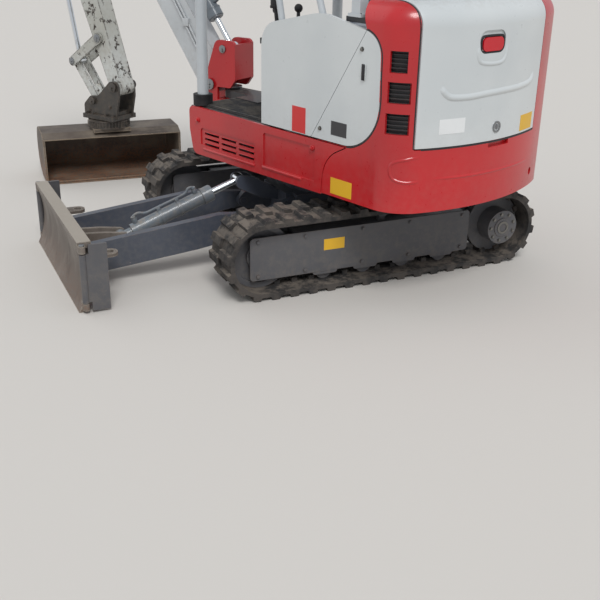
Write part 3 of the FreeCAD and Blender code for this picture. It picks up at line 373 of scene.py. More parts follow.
def addRound(bm, at, direction, radius, depth, segments=20, bevel=0.0, top=None):
    ahead = Vector(direction).normalized()
    turn = Matrix.Translation(Vector(at) + ahead * depth / 2) @ along(direction)
    made = bmesh.ops.create_cone(bm, cap_ends=True, segments=segments, radius1=radius,
                                 radius2=radius if top is None else top, depth=depth, matrix=turn)
    if bevel:
        edges = {e for v in made["verts"] for e in v.link_edges}
        rim = [e for e in edges if any(len(f.verts) > 4 for f in e.link_faces)]
        bmesh.ops.bevel(bm, geom=rim, offset=bevel, segments=2, profile=0.5, affect="EDGES", material=-1)


def addBolt(bm, at, direction, size):    # hex head on its washer
    ahead = Vector(direction).normalized()
    washer = size * 0.25
    addRound(bm, at, ahead, size * 1.25, washer, 14)
    addRound(bm, Vector(at) + ahead * washer, ahead, size, size * 0.75, 6, size * 0.12)


def addRing(bm, at, direction, outer, inner, depth, segments=28):    # a square section spun right round
    turn = Matrix.Translation(at) @ along(direction)
    section = ((inner, 0, 0), (outer, 0, 0), (outer, 0, depth), (inner, 0, depth))
    corners = [bm.verts.new(turn @ Vector(p)) for p in section]
    edges = [bm.edges.new(pair) for pair in zip(corners, corners[1:] + corners[:1])]
    bmesh.ops.spin(bm, geom=[*corners, *edges], cent=Vector(at), axis=Vector(direction).normalized(),
                   dvec=(0, 0, 0), angle=math.tau, steps=segments, use_merge=True, use_duplicate=False)


# blank plates, laid on the surface behind them
def nearestOn(nodeName):    # finds points on a node's surface
    return BVHTree.FromObject(nodes[nodeName], bpy.context.evaluated_depsgraph_get())


plateLook = {"cells": 10, "lift": 0.0009, "before": 0.15, "reach": 0.4}


def layPlate(name, look):
    tree = nearestOn(look["on"])
    bm = bmesh.new()
    bmesh.ops.create_grid(bm, x_segments=plateLook["cells"], y_segments=plateLook["cells"], size=0.5)
    out = (look["place"].to_3x3() @ Vector(look["out"])).normalized()
    side = upward.cross(out).normalized()
    centre = look["place"] @ Vector(look["at"])
    before = out * plateLook["before"]
    for v in bm.verts:
        start = centre + side * v.co.x * look["width"] + upward * v.co.y * look["height"] + before
        hit = tree.ray_cast(start, -out, plateLook["reach"])
        v.co = (hit[0] if hit[0] else start - before) + out * plateLook["lift"]
    bm.normal_update()
    bmesh.ops.solidify(bm, geom=bm.faces[:], thickness=plateLook["lift"])
    addPiece(name, bm, look["finish"], look["body"], smooth=40)


plates = {
    "redPlateSide": {"on": "panel_left", "finish": redPlate, "body": "house", "slot": "red", "place": house,
                     "out": (0, 1, 0), "at": (-0.322, 0.49, 0.720), "width": 0.085, "height": 0.108},
    "blackPlateDoor": {"on": "door_left", "finish": blackPlate, "body": "door_left", "slot": "pale_grey",
                       "place": house, "out": (0, 1, 0), "at": (-0.566, 0.49, 0.7215),
                       "width": 0.09, "height": 0.057},
    "yellowPlateCorner": {"on": "counterweight", "finish": yellowPlate, "body": "house", "slot": "red",
                          "place": house, "out": (-0.2, 1, 0), "at": (-0.590, 0.49, 0.482),
                          "width": 0.122, "height": 0.068},
    "yellowPlateHood": {"on": "hood", "finish": yellowPlate, "body": "hood", "slot": "pale_grey",
                        "place": house, "out": (-1, -0.2, 0), "at": (-0.98, -0.196, 0.737),
                        "width": 0.11, "height": 0.066},
    "palePlateHood": {"on": "hood", "finish": palePlate, "body": "hood", "slot": "pale_grey",
                      "place": house, "out": (-1, 0.3, 0), "at": (-0.955, 0.262, 0.775),
                      "width": 0.12, "height": 0.058},
    "yellowPlateTrack": {"on": "track_frame_left", "finish": yellowPlate, "body": "track_left",
                         "slot": "charcoal", "place": machine, "out": (0, 1, 0), "at": (0.26, 0.6, 0.198),
                         "width": 0.1, "height": 0.05},
}
for name, look in plates.items():
    layPlate(name, look)
print("plates laid:", len(plates))


# pressed lines and seals, drawn on the surface they belong to
beadLook = {"steps": 10, "ends": 5,    # and a section's points, across and out, as shares of its size
            "section": ((-1, -0.25), (-0.6, 0.55), (-0.2, 1), (0.2, 1), (0.6, 0.55), (1, -0.25), (0, -0.4))}


def smoothPath(path):    # points on a smooth line through the path's points
    points = [path[0] * 2 - path[1], *path, path[-1] * 2 - path[-2]]
    line = []
    for before, first, second, after in zip(points, points[1:], points[2:], points[3:]):
        for i in range(beadLook["steps"]):
            t = i / beadLook["steps"]
            line.append(((-t + 2 * t * t - t ** 3) * before + (2 - 5 * t * t + 3 * t ** 3) * first
                         + (t + 4 * t * t - 3 * t ** 3) * second + (t ** 3 - t * t) * after) / 2)
    return [*line, points[-2]]


def addBead(bm, nearest, path, width, height):    # the section is extruded along the path
    line = smoothPath(path)
    last = len(line) - 1
    end = None
    for i, at in enumerate(line):
        ahead = (line[min(i + 1, last)] - line[max(i - 1, 0)]).normalized()
        across = ahead.cross(nearest(at)[1]).normalized()
        taper = min(1, min(i, last - i) / beadLook["ends"] + 0.05)
        row = []
        for share, rise in beadLook["section"]:
            spot = nearest(at + across * width * share / 2)
            row.append(spot[0] + spot[1] * height * (rise * taper if rise > 0 else rise))
        if end is None:
            end = bm.faces.new([bm.verts.new(co) for co in row])
            continue
        made = bmesh.ops.extrude_face_region(bm, geom=[end, *end.edges, *end.verts])["geom"]
        end = next(part for part in made if isinstance(part, bmesh.types.BMFace))
        for v, co in zip(end.verts, row):
            v.co = co


beads = {    # lines in the house's frame
    "hoodCrease": {"on": "hood", "finish": paleGrey, "body": "hood", "slot": "pale_grey",
                   "width": 0.03, "height": 0.0065,
                   "lines": [[(-0.945, 0.326, 0.925), (-0.953, 0.304, 0.899), (-0.962, 0.273, 0.885),
                              (-0.981, 0.196, 0.882), (-0.994, 0.112, 0.887), (-1.0, 0.014, 0.89),
                              (-0.995, -0.101, 0.893), (-0.983, -0.183, 0.904), (-0.977, -0.215, 0.935)]]},
    "weightLines": {"on": "counterweight", "finish": redPaint, "body": "house", "slot": "red",
                    "width": 0.015, "height": 0.0035,
                    "lines": [[(-0.944, 0.331, 0.571), (-0.987, 0.159, 0.567), (-0.999, -0.043, 0.566),
                               (-0.969, -0.246, 0.564)],
                              [(-0.92, 0.392, 0.663), (-0.859, 0.465, 0.643), (-0.84, 0.475, 0.613),
                               (-0.853, 0.468, 0.575), (-0.887, 0.441, 0.562), (-0.92, 0.392, 0.564)]]},
    "lampLip": {"on": "hood", "finish": paleGrey, "body": "hood", "slot": "pale_grey",
                "width": 0.02, "height": 0.0045,
                "lines": [[(-0.985, 0.172, 1.065), (-0.986, 0.168, 1.03), (-0.989, 0.15, 1.008),
                           (-0.996, 0.094, 1.0), (-0.999, 0.04, 1.004), (-1.0, 0.018, 1.025),
                           (-1.0, 0.012, 1.065)]]},
    "hoodSealPillar": {"on": "pillar_left", "finish": blackPlastic, "body": "house", "slot": "black_steel",
                       "width": 0.007, "height": 0.0015,
                       "lines": [[(-0.906, 0.4183, 0.694), (-0.906, 0.4183, 0.85), (-0.906, 0.4183, 1.0),
                                  (-0.906, 0.4183, 1.13), (-0.9, 0.4183, 1.17), (-0.886, 0.4183, 1.2),
                                  (-0.862, 0.4183, 1.2195), (-0.818, 0.4183, 1.2315),
                                  (-0.775, 0.4183, 1.2335)]]},
}
for name, look in beads.items():
    tree = nearestOn(look["on"])
    bm = bmesh.new()
    for path in look["lines"]:
        addBead(bm, tree.find_nearest, [house @ Vector(p) for p in path], look["width"], look["height"])
    addPiece(name, bm, look["finish"], look["body"], smooth=60)

# the house's flat left side and its round rear corner
houseSide = {"y": 0.49, "corner": Vector((-0.7725, 0.33, 0)), "radius": 0.16}


def sideSkin(at):    # nearest point and normal on the house's left side
    corner = houseSide["corner"]
    if at.x > corner.x:
        return Vector((at.x, houseSide["y"], at.z)), Vector((0, 1, 0))
    out = Vector((at.x - corner.x, at.y - corner.y, 0)).normalized()
    return Vector((corner.x, corner.y, at.z)) + out * houseSide["radius"], out


def tailSkin(at):    # the same on the house's round tail, whose radius is 1 m
    out = Vector((at.x, at.y, 0)).normalized()
    return Vector((0, 0, at.z)) + out, out


doorSeal = {"width": 0.007, "height": 0.0015,
            "line": [(-0.7021, 0.49, 1.1253), (-0.7172, 0.49, 1.1216), (-0.745, 0.49, 1.1075),
                     (-0.767, 0.49, 1.0855), (-0.7811, 0.49, 1.0577), (-0.786, 0.489, 1.027),
                     (-0.7876, 0.489, 0.94), (-0.7895, 0.489, 0.856), (-0.7802, 0.49, 0.7959),
                     (-0.7533, 0.49, 0.7413), (-0.7099, 0.49, 0.6963), (-0.653, 0.49, 0.6663),
                     (-0.6118, 0.49, 0.6572)]}
bm = bmesh.new()
addBead(bm, sideSkin, [Vector(p) for p in doorSeal["line"]], doorSeal["width"], doorSeal["height"])
addPiece("doorSeal", bm, blackPlastic, "house", house, 60)

tailSeal = {"width": 0.008, "height": 0.0012, "z": 0.6905, "from": 157, "sweep": 39.4, "parts": 12}
bm = bmesh.new()
line = []
for i in range(tailSeal["parts"] + 1):
    a = math.radians(tailSeal["from"] + tailSeal["sweep"] * i / tailSeal["parts"])
    line.append(Vector((math.cos(a), math.sin(a), tailSeal["z"])))
addBead(bm, tailSkin, line, tailSeal["width"], tailSeal["height"])
addPiece("tailSeal", bm, blackPlastic, "house", house, 60)
print("pressed lines and seals drawn")


# pins, cylinders and pipes of the front linkage
def addPipe(bm, points, radius):    # round pipe through rounded bends
    curve = bpy.data.curves.new("pipe", "CURVE")
    curve.dimensions = "3D"
    curve.bevel_depth = radius
    curve.bevel_resolution = 3
    curve.use_fill_caps = True
    spline = curve.splines.new("NURBS")
    spline.points.add(len(points) - 1)
    for point, at in zip(spline.points, points):
        point.co = (*at, 1)
    spline.order_u = 3
    spline.use_endpoint_u = True
    spline.resolution_u = 8
    drawn = bpy.data.objects.new("pipe", curve)
    bpy.context.scene.collection.objects.link(drawn)
    mesh = bpy.data.meshes.new_from_object(drawn.evaluated_get(bpy.context.evaluated_depsgraph_get()))
    bm.from_mesh(mesh)
    bpy.data.objects.remove(drawn)
    bpy.data.curves.remove(curve)
    bpy.data.meshes.remove(mesh)


capLook = {"sink": 0.0005, "head": 1.45, "headDepth": 0.007, "nipple": 0.32, "nippleDepth": 0.006,
           "keeper": 0.0045, "keeperDepth": 0.004, "keeperDown": 0.85}
pinCaps = {    # body: x, z, half width and pin radius of each pin
    "swing_post": [(0.1, 0.665, 0.09, 0.02), (0.015, 0.854, 0.082, 0.014)],
    "boom": [(0.358, 1.3339, 0.048, 0.015), (0.4266, 1.5476, 0.048, 0.015)],
    "arm": [(1.216, 1.749, 0.08, 0.018), (1.354, 1.946, 0.073, 0.026), (1.338, 1.632, 0.048, 0.015)],
    "hitch": [(0.83, 0.56, 0.084, 0.018), (1.002, 0.464, 0.084, 0.015)],
    "side_links": [(0.939, 0.828, 0.07, 0.016), (1.158, 0.679, 0.07, 0.013)],
}


def addPinCap(bm, x, z, half, radius, out):    # head, grease nipple and keeper bolt
    inside = half - capLook["sink"]
    outside = inside + capLook["headDepth"]
    ahead = (0, out, 0)
    keeperZ = z - radius * capLook["keeperDown"]
    addRound(bm, (x, out * inside, z), ahead, radius * capLook["head"], capLook["headDepth"], 24, 0.0015)
    addRound(bm, (x, out * outside, z), ahead, radius * capLook["nipple"], capLook["nippleDepth"], 12, 0.001)
    addRound(bm, (x, out * outside, keeperZ), ahead, capLook["keeper"], capLook["keeperDepth"], 10)


for body, pins in pinCaps.items():
    bm = bmesh.new()
    for x, z, half, radius in pins:
        for out in (-1, 1):
            addPinCap(bm, x, z, half, radius, out)
    finish = hitchBlack if body == "hitch" else pinSteel
    addPiece("pinCaps_" + body, bm, finish, body, boomFrame)

kingPin = {"x": 0.75, "z": 0.6475, "radius": 0.04, "depth": 0.01, "bolt": 0.011}
bm = bmesh.new()
addRound(bm, (kingPin["x"], 0, kingPin["z"]), upward, kingPin["radius"], kingPin["depth"], 28, 0.002)
addBolt(bm, (kingPin["x"], 0, kingPin["z"] + kingPin["depth"]), upward, kingPin["bolt"])
addPiece("kingPinCap", bm, pinSteel, "house", house)

cylinders = {    # base and rod end as x and z, barrel, the side of its ports
    "boom_barrel": {"base": (0.358, 1.3339), "end": (0.015, 0.854), "radius": 0.038, "length": 0.4,
                    "side": -1, "place": boomFrame},
    "arm_barrel": {"base": (0.4266, 1.5476), "end": (1.354, 1.946), "radius": 0.036, "length": 0.56,
                   "side": 1, "place": boomFrame},
    "bucket_barrel": {"base": (1.338, 1.632), "end": (1.158, 0.679), "radius": 0.032, "length": 0.56,
                      "side": 1, "place": boomFrame},
    "blade_barrel": {"base": (1.055, 0.14), "end": (0.475, 0.355), "radius": 0.034, "length": 0.455,
                     "side": -1, "place": machine},
}
fitting = {"glandPast": 0.0115, "collarBefore": 0.036, "ring": 0.006, "collar": 0.007, "rod": 0.46,
           "ports": (0.085, 0.06), "port": 0.013, "portDepth": 0.026, "nut": 0.0125, "nutDepth": 0.012,
           "clamps": (0.2, 0.16), "clamp": 0.0035, "clampWidth": 0.014, "saddle": 0.009,
           "line": 0.0058, "lineRise": 0.017, "lineRun": (0.14, 0.19, 0.14, 0.1)}


def addFittings(bm, start, ahead, out, radius, length):    # gland, collar, ports and clamps of a barrel
    def at(away, rise=0.0):
        return start + ahead * away + out * rise
    gland = at(length + fitting["glandPast"])
    collar = at(length - fitting["collarBefore"])
    addRing(bm, gland, ahead, radius + 0.001, radius * fitting["rod"], fitting["ring"])
    addRing(bm, collar, ahead, radius + fitting["collar"], radius, fitting["ring"])
    first, last = fitting["ports"]
    for away in (first, length - last):
        addRound(bm, at(away, radius - 0.006), out, fitting["port"], fitting["portDepth"], 18, 0.002)
        addRound(bm, at(away, radius + 0.018), out, fitting["nut"], fitting["nutDepth"], 6, 0.001)
    half = fitting["saddle"]
    first, last = fitting["clamps"]
    for away in (first, length - last):
        addRing(bm, at(away), ahead, radius + fitting["clamp"], radius - 0.001, fitting["clampWidth"])
        saddle = Matrix.Translation(at(away + fitting["clampWidth"] / 2, radius + 0.007)) @ along(ahead)
        addBox(bm, (-half, -half, -half), (half, half, half), 0.002, 2, saddle)


def addHardLine(bm, start, ahead, out, radius, length):    # pipe from port to port along a barrel
    near, nearRun, farRun, far = fitting["lineRun"]
    first, last = fitting["ports"]
    rise = fitting["lineRise"]
    route = [(first, 0.03), (0.11, 0.04), (near, rise), (nearRun, rise), (length - farRun, rise),
             (length - far, rise), (length - 0.08, 0.04), (length - last, 0.03)]
    addPipe(bm, [start + ahead * away + out * (radius + up) for away, up in route], fitting["line"])


for name, look in cylinders.items():
    start = Vector((look["base"][0], 0, look["base"][1]))
    ahead = (Vector((look["end"][0], 0, look["end"][1])) - start).normalized()
    out = Vector((-ahead.z, 0, ahead.x)) * look["side"]
    for kind, add in (("fittings_", addFittings), ("hardLine_", addHardLine)):
        bm = bmesh.new()
        add(bm, start, ahead, out, look["radius"], look["length"])
        addPiece(kind + name, bm, cylinderGrey, name, look["place"])

boomLines = {    # y of the pipes, and their clamps from y to y
    "Upper": {"y": 0.058, "clamp": (0.04988, 0.06496)},
    "Lower": {"y": -0.058, "clamp": (-0.058, -0.04988)},
}
boomRoute = {"radius": 0.0055,    # x and z of the first pipe, and how far the second stands off in x and z
             "points": [(0.16, 0.79, 0.016, 0.012), (0.24, 0.93, 0.016, 0.012), (0.62, 1.503, 0.016, 0.02),
                        (0.70, 1.56, 0.016, 0.03), (0.80, 1.605, 0.0, 0.032), (1.02, 1.7075, 0.0, 0.032)],
             "clamps": [(0.27, 0.97), (0.42, 1.197), (0.57, 1.424), (0.80, 1.596), (1.0, 1.69)]}
for name, look in boomLines.items():
    bm = bmesh.new()
    for row in (0, 1):
        route = [Vector((x + row * dx, look["y"], z - row * dz)) for x, z, dx, dz in boomRoute["points"]]
        addPipe(bm, route, boomRoute["radius"])
    low, high = look["clamp"]
    for x, z in boomRoute["clamps"]:
        addBox(bm, (x - 0.012, low, z - 0.024), (x + 0.03, high, z + 0.018), 0.002)
    addPiece("boomLines" + name, bm, boomGrey, "boom", boomFrame)
print("front linkage dressed")


# hitch and bucket
rotor = {"x": 0.955, "teeth": 40, "pitch": 0.117, "tooth": 0.0052, "low": 0.314, "depth": 0.04,
         "outer": 0.124, "inner": 0.11, "rims": ((0.3125, 0.008), (0.35, 0.006))}
bm = bmesh.new()
for i in range(rotor["teeth"]):
    a = math.tau * i / rotor["teeth"]
    at = (rotor["x"] + rotor["pitch"] * math.cos(a), rotor["pitch"] * math.sin(a), rotor["low"])
    addRound(bm, at, upward, rotor["tooth"], rotor["depth"], 8)
for z, depth in rotor["rims"]:
    addRing(bm, (rotor["x"], 0, z), upward, rotor["outer"], rotor["inner"], depth, 48)
addPiece("turningTeeth", bm, hitchBlack, "bucket", boomFrame)

hitchBolts = {"size": 0.009, "top": 0.388, "half": 0.086, "rows": (-0.11, -0.055, 0.045, 0.1),
              "cheek": 0.073, "cheekBolts": ((0.87, 0.44), (1.04, 0.405))}
bm = bmesh.new()
for x in hitchBolts["rows"]:
    for out in (-1, 1):
        addBolt(bm, (rotor["x"] + x, out * hitchBolts["half"], hitchBolts["top"]), upward, hitchBolts["size"])
for out in (-1, 1):
    for x, z in hitchBolts["cheekBolts"]:
        addBolt(bm, (x, out * hitchBolts["cheek"], z), (0, out, 0), hitchBolts["size"])
addPiece("hitchBolts", bm, hitchBlack, "hitch", boomFrame)
print("hitch and bucket dressed")


# house
sideFace = 0.4895    # just under the side's outer face, so that bolts sit in it
doorLook = {"bolt": 0.0075, "bolts": ((-0.68, 1.05), (-0.455, 0.707)),
            "pullLow": (-0.7035, 0.494, 0.935), "pullHigh": (-0.6865, 0.4975, 0.9965)}
bm = bmesh.new()
for x, z in doorLook["bolts"]:
    addBolt(bm, (x, sideFace, z), (0, 1, 0), doorLook["bolt"])
addPiece("doorBolts", bm, boltZinc, "door_left", house)
bm = bmesh.new()
addBox(bm, doorLook["pullLow"], doorLook["pullHigh"], 0.0015)
addPiece("doorPull", bm, blackPlastic, "door_left", house)

skirtLook = {"bolts": ((0.41, 0.592), (-0.409, 0.615)), "washer": 0.013, "washerDepth": 0.004,
             "bolt": 0.0075, "boltOut": 0.493, "louvreRows": (0.486, 0.512, 0.538),
             "louvreStarts": (-0.016, 0.116, 0.248), "louvre": 0.116,
             "louvreLow": 0.003, "louvreHigh": 0.0075, "louvreOut": (0.478, 0.488), "ribOut": (0.484, 0.4945),
             "ribs": ((-0.025, 0.37, 0.4525, 0.4655), (-0.345, -0.08, 0.4595, 0.4725))}


def addSideBox(bm, out, outs, x0, x1, z0, z1, bevel, segments=2):    # box on the left (1) or right (-1) side
    low, high = sorted(out * y for y in outs)
    addBox(bm, (x0, low, z0), (x1, high, z1), bevel, segments)


for name, out in (("left", 1), ("right", -1)):
    bm = bmesh.new()
    for x, z in skirtLook["bolts"]:
        at = (x, out * sideFace, z)
        addRound(bm, at, (0, out, 0), skirtLook["washer"], skirtLook["washerDepth"], 20, 0.001)
        addBolt(bm, (x, out * skirtLook["boltOut"], z), (0, out, 0), skirtLook["bolt"])
    addPiece("skirtBolts_" + name, bm, redPaint, "house", house)
    bm = bmesh.new()
    for z in skirtLook["louvreRows"]:
        for x in skirtLook["louvreStarts"]:
            low = z + skirtLook["louvreLow"]
            high = z + skirtLook["louvreHigh"]
            addSideBox(bm, out, skirtLook["louvreOut"], x, x + skirtLook["louvre"], low, high, 0.0018)
    for x0, x1, z0, z1 in skirtLook["ribs"]:
        addSideBox(bm, out, skirtLook["ribOut"], x0, x1, z0, z1, 0.004, 3)
    addPiece("louvreLips_" + name, bm, redPaint, "house", house)

grille = {"rows": (0.788, 0.906, 1.02), "at": (-0.832, 0.4385, 0), "turn": 29, "back": (0.075, 0.003, 0.056),
          "slats": 6, "first": -0.045, "step": 0.017, "slat": (0.07, 0.012, 0.005)}
bm = bmesh.new()
for z in grille["rows"]:
    half, thick, tall = grille["back"]
    addBox(bm, (-half, -thick, z - tall), (half, 0.0, z + tall))
    half, deep, thick = grille["slat"]
    for i in range(grille["slats"]):
        low = z + grille["first"] + i * grille["step"]
        addBox(bm, (-half, 0.0, low), (half, deep, low + thick), 0.001)
place = Matrix.Translation(grille["at"]) @ Matrix.Rotation(math.radians(grille["turn"]), 4, "Z")
addPiece("sideGrilles", bm, blackSteel, "house", house @ place)

rims = {"outer": 0.1598, "inner": 0.146, "half": 0.0405,    # strips: middle height, and degrees from and to
        "strips": ((1.02, 91.2, 107.3), (1.02, 132.2, 140), (0.906, 91.2, 106), (0.788, 91.2, 104.8))}


def addRim(bm, z, start, stop):    # a section spun part of the way round the corner
    centre = houseSide["corner"]
    outer, inner, low, high = rims["outer"], rims["inner"], z - rims["half"], z + rims["half"]
    turn = Matrix.Translation(centre) @ Matrix.Rotation(math.radians(start), 4, "Z")
    section = ((outer, 0, low), (outer, 0, high), (inner, 0, high), (inner, 0, low))
    face = bm.faces.new([bm.verts.new(turn @ Vector(p)) for p in section])
    bmesh.ops.spin(bm, geom=[face, *face.edges, *face.verts], cent=centre, axis=upward, dvec=(0, 0, 0),
                   angle=math.radians(stop - start), steps=8, use_merge=False, use_duplicate=False)


bm = bmesh.new()
for z, start, stop in rims["strips"]:
    addRim(bm, z, start, stop)
addPiece("openingRims", bm, redPaint, "house", house)

lock = {"y": 0.031, "z": 0.748, "out": (-1, 0.03, 0), "ring": (0.023, 0.016, 0.005), "plug": (0.011, 0.003)}
bm = bmesh.new()
addRing(bm, (-0.9985, lock["y"], lock["z"]), lock["out"], *lock["ring"])
addRound(bm, (-0.9995, lock["y"], lock["z"]), lock["out"], *lock["plug"], 20, 0.0008)
addBox(bm, (-1.0035, lock["y"] - 0.002, lock["z"] - 0.008), (-1.002, lock["y"] + 0.002, lock["z"] + 0.008))
addPiece("hoodLock", bm, pinSteel, "hood", house)

gasket = {"x": -0.9925, "z": 1.074, "turn": -5.4, "radius": 0.0048,    # y and z round the lamp
          "line": ((0, 0.031), (-0.046, 0.031), (-0.062, 0.026), (-0.062, -0.026), (-0.046, -0.031),
                   (0.046, -0.031), (0.062, -0.026), (0.062, 0.026), (0.046, 0.031), (0, 0.031))}
bm = bmesh.new()
turn = Matrix.Rotation(math.radians(gasket["turn"]), 4, "Z")
addPipe(bm, [turn @ Vector((gasket["x"], y, gasket["z"] + z)) for y, z in gasket["line"]], gasket["radius"])
addPiece("lampGasket", bm, blackPlastic, "hood", house)
print("house dressed")


# driver's place
padLook = {"cuts": 40, "power": 7, "crown": 0.22, "groove": 0.16, "seams": (-0.4, 0.0, 0.4),
           "seamWidth": 0.035, "border": 0.8, "borderWide": 0.03, "borderLong": 0.035}
seatPads = {    # corners, and which axes run through, across and along the pad
    "seatCushion": {"low": (-0.5, -0.215, 0.985), "high": (-0.07, 0.215, 1.068),
                    "thick": 2, "across": 1, "along": 0},
    "seatBack": {"low": (-0.515, -0.215, 1.055), "high": (-0.4, 0.215, 1.4),
                 "thick": 0, "across": 1, "along": 2},
}


def addPad(bm, look):    # rounded cushion with sewn flutes
    low, high = Vector(look["low"]), Vector(look["high"])
    half, centre = (high - low) / 2, (high + low) / 2
    made = bmesh.ops.create_cube(bm, size=2)
    edges = list({e for v in made["verts"] for e in v.link_edges})
    bmesh.ops.subdivide_edges(bm, edges=edges, cuts=padLook["cuts"], use_grid_fill=True)
    thick = look["thick"]
    for v in bm.verts:
        u = v.co / sum(abs(c) ** padLook["power"] for c in v.co) ** (1 / padLook["power"])
        across, along_ = u[look["across"]], u[look["along"]]
        if v.co[thick] > 0.99:    # the face that one sits on or leans against
            crown = (1 - across ** 2) * (1 - along_ ** 2) * padLook["crown"]
            seam = sum(math.exp(-((across - at) / padLook["seamWidth"]) ** 2) for at in padLook["seams"])
            seam += math.exp(-((abs(across) - padLook["border"]) / padLook["borderWide"]) ** 2)
            seam += math.exp(-((abs(along_) - padLook["border"]) / padLook["borderLong"]) ** 2)
            u[thick] += crown - padLook["groove"] * min(seam, 1) - padLook["crown"]
        v.co = Vector([c + h * k for c, h, k in zip(centre, half, u)])


for name, look in seatPads.items():
    bm = bmesh.new()
    addPad(bm, look)
    pad = addPiece(name, bm, seatVinyl, "house", house, 60)
    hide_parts("seat")

mat = {"low": (-0.035, -0.445, 0.66), "high": (0.445, 0.445, 0.664), "ribs": 23, "start": -0.025,
       "step": 0.02, "rib": 0.01, "ribHalf": 0.43, "ribTop": 0.6665}
bm = bmesh.new()
addBox(bm, mat["low"], mat["high"], 0.001)
for i in range(mat["ribs"]):
    x = mat["start"] + i * mat["step"]
    addBox(bm, (x, -mat["ribHalf"], mat["high"][2]), (x + mat["rib"], mat["ribHalf"], mat["ribTop"]), 0.0008)
addPiece("floorMat", bm, matRubber, "house", house)

travelLevers = {"y": (-0.07, 0.07), "knob": (0.322, 1.085, 0.021), "boot": (0.3285, 0.8),
                "lean": (-0.03, 0, 1), "bootLow": 0.02, "bootHigh": 0.011, "bootDepth": 0.03}
handLevers = {"y": (-0.35, 0.35), "knob": (0.002, 1.24, 0.0235), "collar": (-0.0005, 1.135),
              "collarLean": (0.02, 0, 1), "collarRadius": 0.0245, "collarDepth": 0.012,
              "footX": -0.019, "lean": (0.13, 0, 1), "spread": 0.14, "fold": 0.014,
              "folds": ((1.01, 0.038), (1.024, 0.031), (1.038, 0.025), (1.052, 0.019))}


def addKnob(bm, x, y, z, radius):
    at = Matrix.Translation((x, y, z))
    bmesh.ops.create_uvsphere(bm, u_segments=20, v_segments=14, radius=radius, matrix=at)


def addTravelLever(bm, look, y):    # knob and tapered boot
    x, z, radius = look["knob"]
    addKnob(bm, x, y, z, radius)
    x, z = look["boot"]
    addRound(bm, (x, y, z), look["lean"], look["bootLow"], look["bootDepth"], 18, 0.004, look["bootHigh"])


def addHandLever(bm, look, y):    # folded boot, knob and collar
    lowest = look["folds"][0][0]
    for z, radius in look["folds"]:
        x = look["footX"] + (z - lowest) * look["spread"]
        addRound(bm, (x, y, z), look["lean"], radius, look["fold"], 24, 0.004)
    x, z, radius = look["knob"]
    addKnob(bm, x, y, z, radius)
    x, z = look["collar"]
    addRound(bm, (x, y, z), look["collarLean"], look["collarRadius"], look["collarDepth"], 24, 0.003)


bm = bmesh.new()
for y in travelLevers["y"]:
    addTravelLever(bm, travelLevers, y)
for y in handLevers["y"]:
    addHandLever(bm, handLevers, y)
addPiece("leverGrips", bm, softBlack, "house", house)

posts = {"y": 0.44, "sleeveX": 0.432, "sleeveZ": 0.6598, "sleeve": (0.047, 0.028, 0.05), "footX": -0.609,
         "footZ": 1.1715, "boltsX": 0.028, "boltsY": 0.022, "bolt": 0.004}
bm = bmesh.new()
for y in (-posts["y"], posts["y"]):
    addRing(bm, (posts["sleeveX"], y, posts["sleeveZ"]), upward, *posts["sleeve"], 32)
    for angle in (45, 135, 225, 315):
        a = math.radians(angle)
        x = posts["footX"] + posts["boltsX"] * math.cos(a)
        addBolt(bm, (x, y + posts["boltsY"] * math.sin(a), posts["footZ"]), upward, posts["bolt"])
addPiece("postFeet", bm, softBlack, "house", house)

roof = {"ribs": (-0.36, -0.18, 0.0, 0.18, 0.36), "half": 0.045, "back": -0.64, "front": 0.44,
        "low": 2.346, "high": 2.3535}
bm = bmesh.new()
for y in roof["ribs"]:
    low = (roof["back"], y - roof["half"], roof["low"])
    addBox(bm, low, (roof["front"], y + roof["half"], roof["high"]), 0.003)
addPiece("roofRibs", bm, paleGrey, "house", house)
print("driver's place dressed")


# undercarriage
track = {"wheelX": 0.601, "axleZ": 0.178, "y": 0.535, "beltRadius": 0.144, "inside": 0.1435}
driveLook = {"bolts": 9, "pitch": 0.064, "bolt": 0.007, "face": 0.639,
             "plugFace": 0.6425, "plug": (0.03, 0.02, 0.004)}
frameBolts = {"size": 0.008, "face": 0.5945, "x": (-0.4, -0.12, 0.12, 0.4, 0.62), "z": (0.25, 0.095)}
lugs = {"count": 40, "rows": (-0.024, 0.024), "halfLong": 0.013, "halfWide": 0.008,
        "low": -0.018, "high": 0.001}


def beltPoint(share):    # x, z and turn on the belt's inside, with share from 0 to 1 round the track
    run = 2 * track["wheelX"]
    bend = math.pi * track["beltRadius"]
    at = share * (2 * run + 2 * bend)
    if at < run:
        return -track["wheelX"] + at, track["axleZ"] + track["inside"], 0
    if run + bend <= at < 2 * run + bend:
        return track["wheelX"] - (at - run - bend), track["axleZ"] - track["inside"], math.pi
    if at < run + bend:
        wheel, a = track["wheelX"], (at - run) / track["beltRadius"]
    else:
        wheel, a = -track["wheelX"], (at - 2 * run - bend) / track["beltRadius"] + math.pi
    return wheel + track["inside"] * math.sin(a), track["axleZ"] + track["inside"] * math.cos(a), a


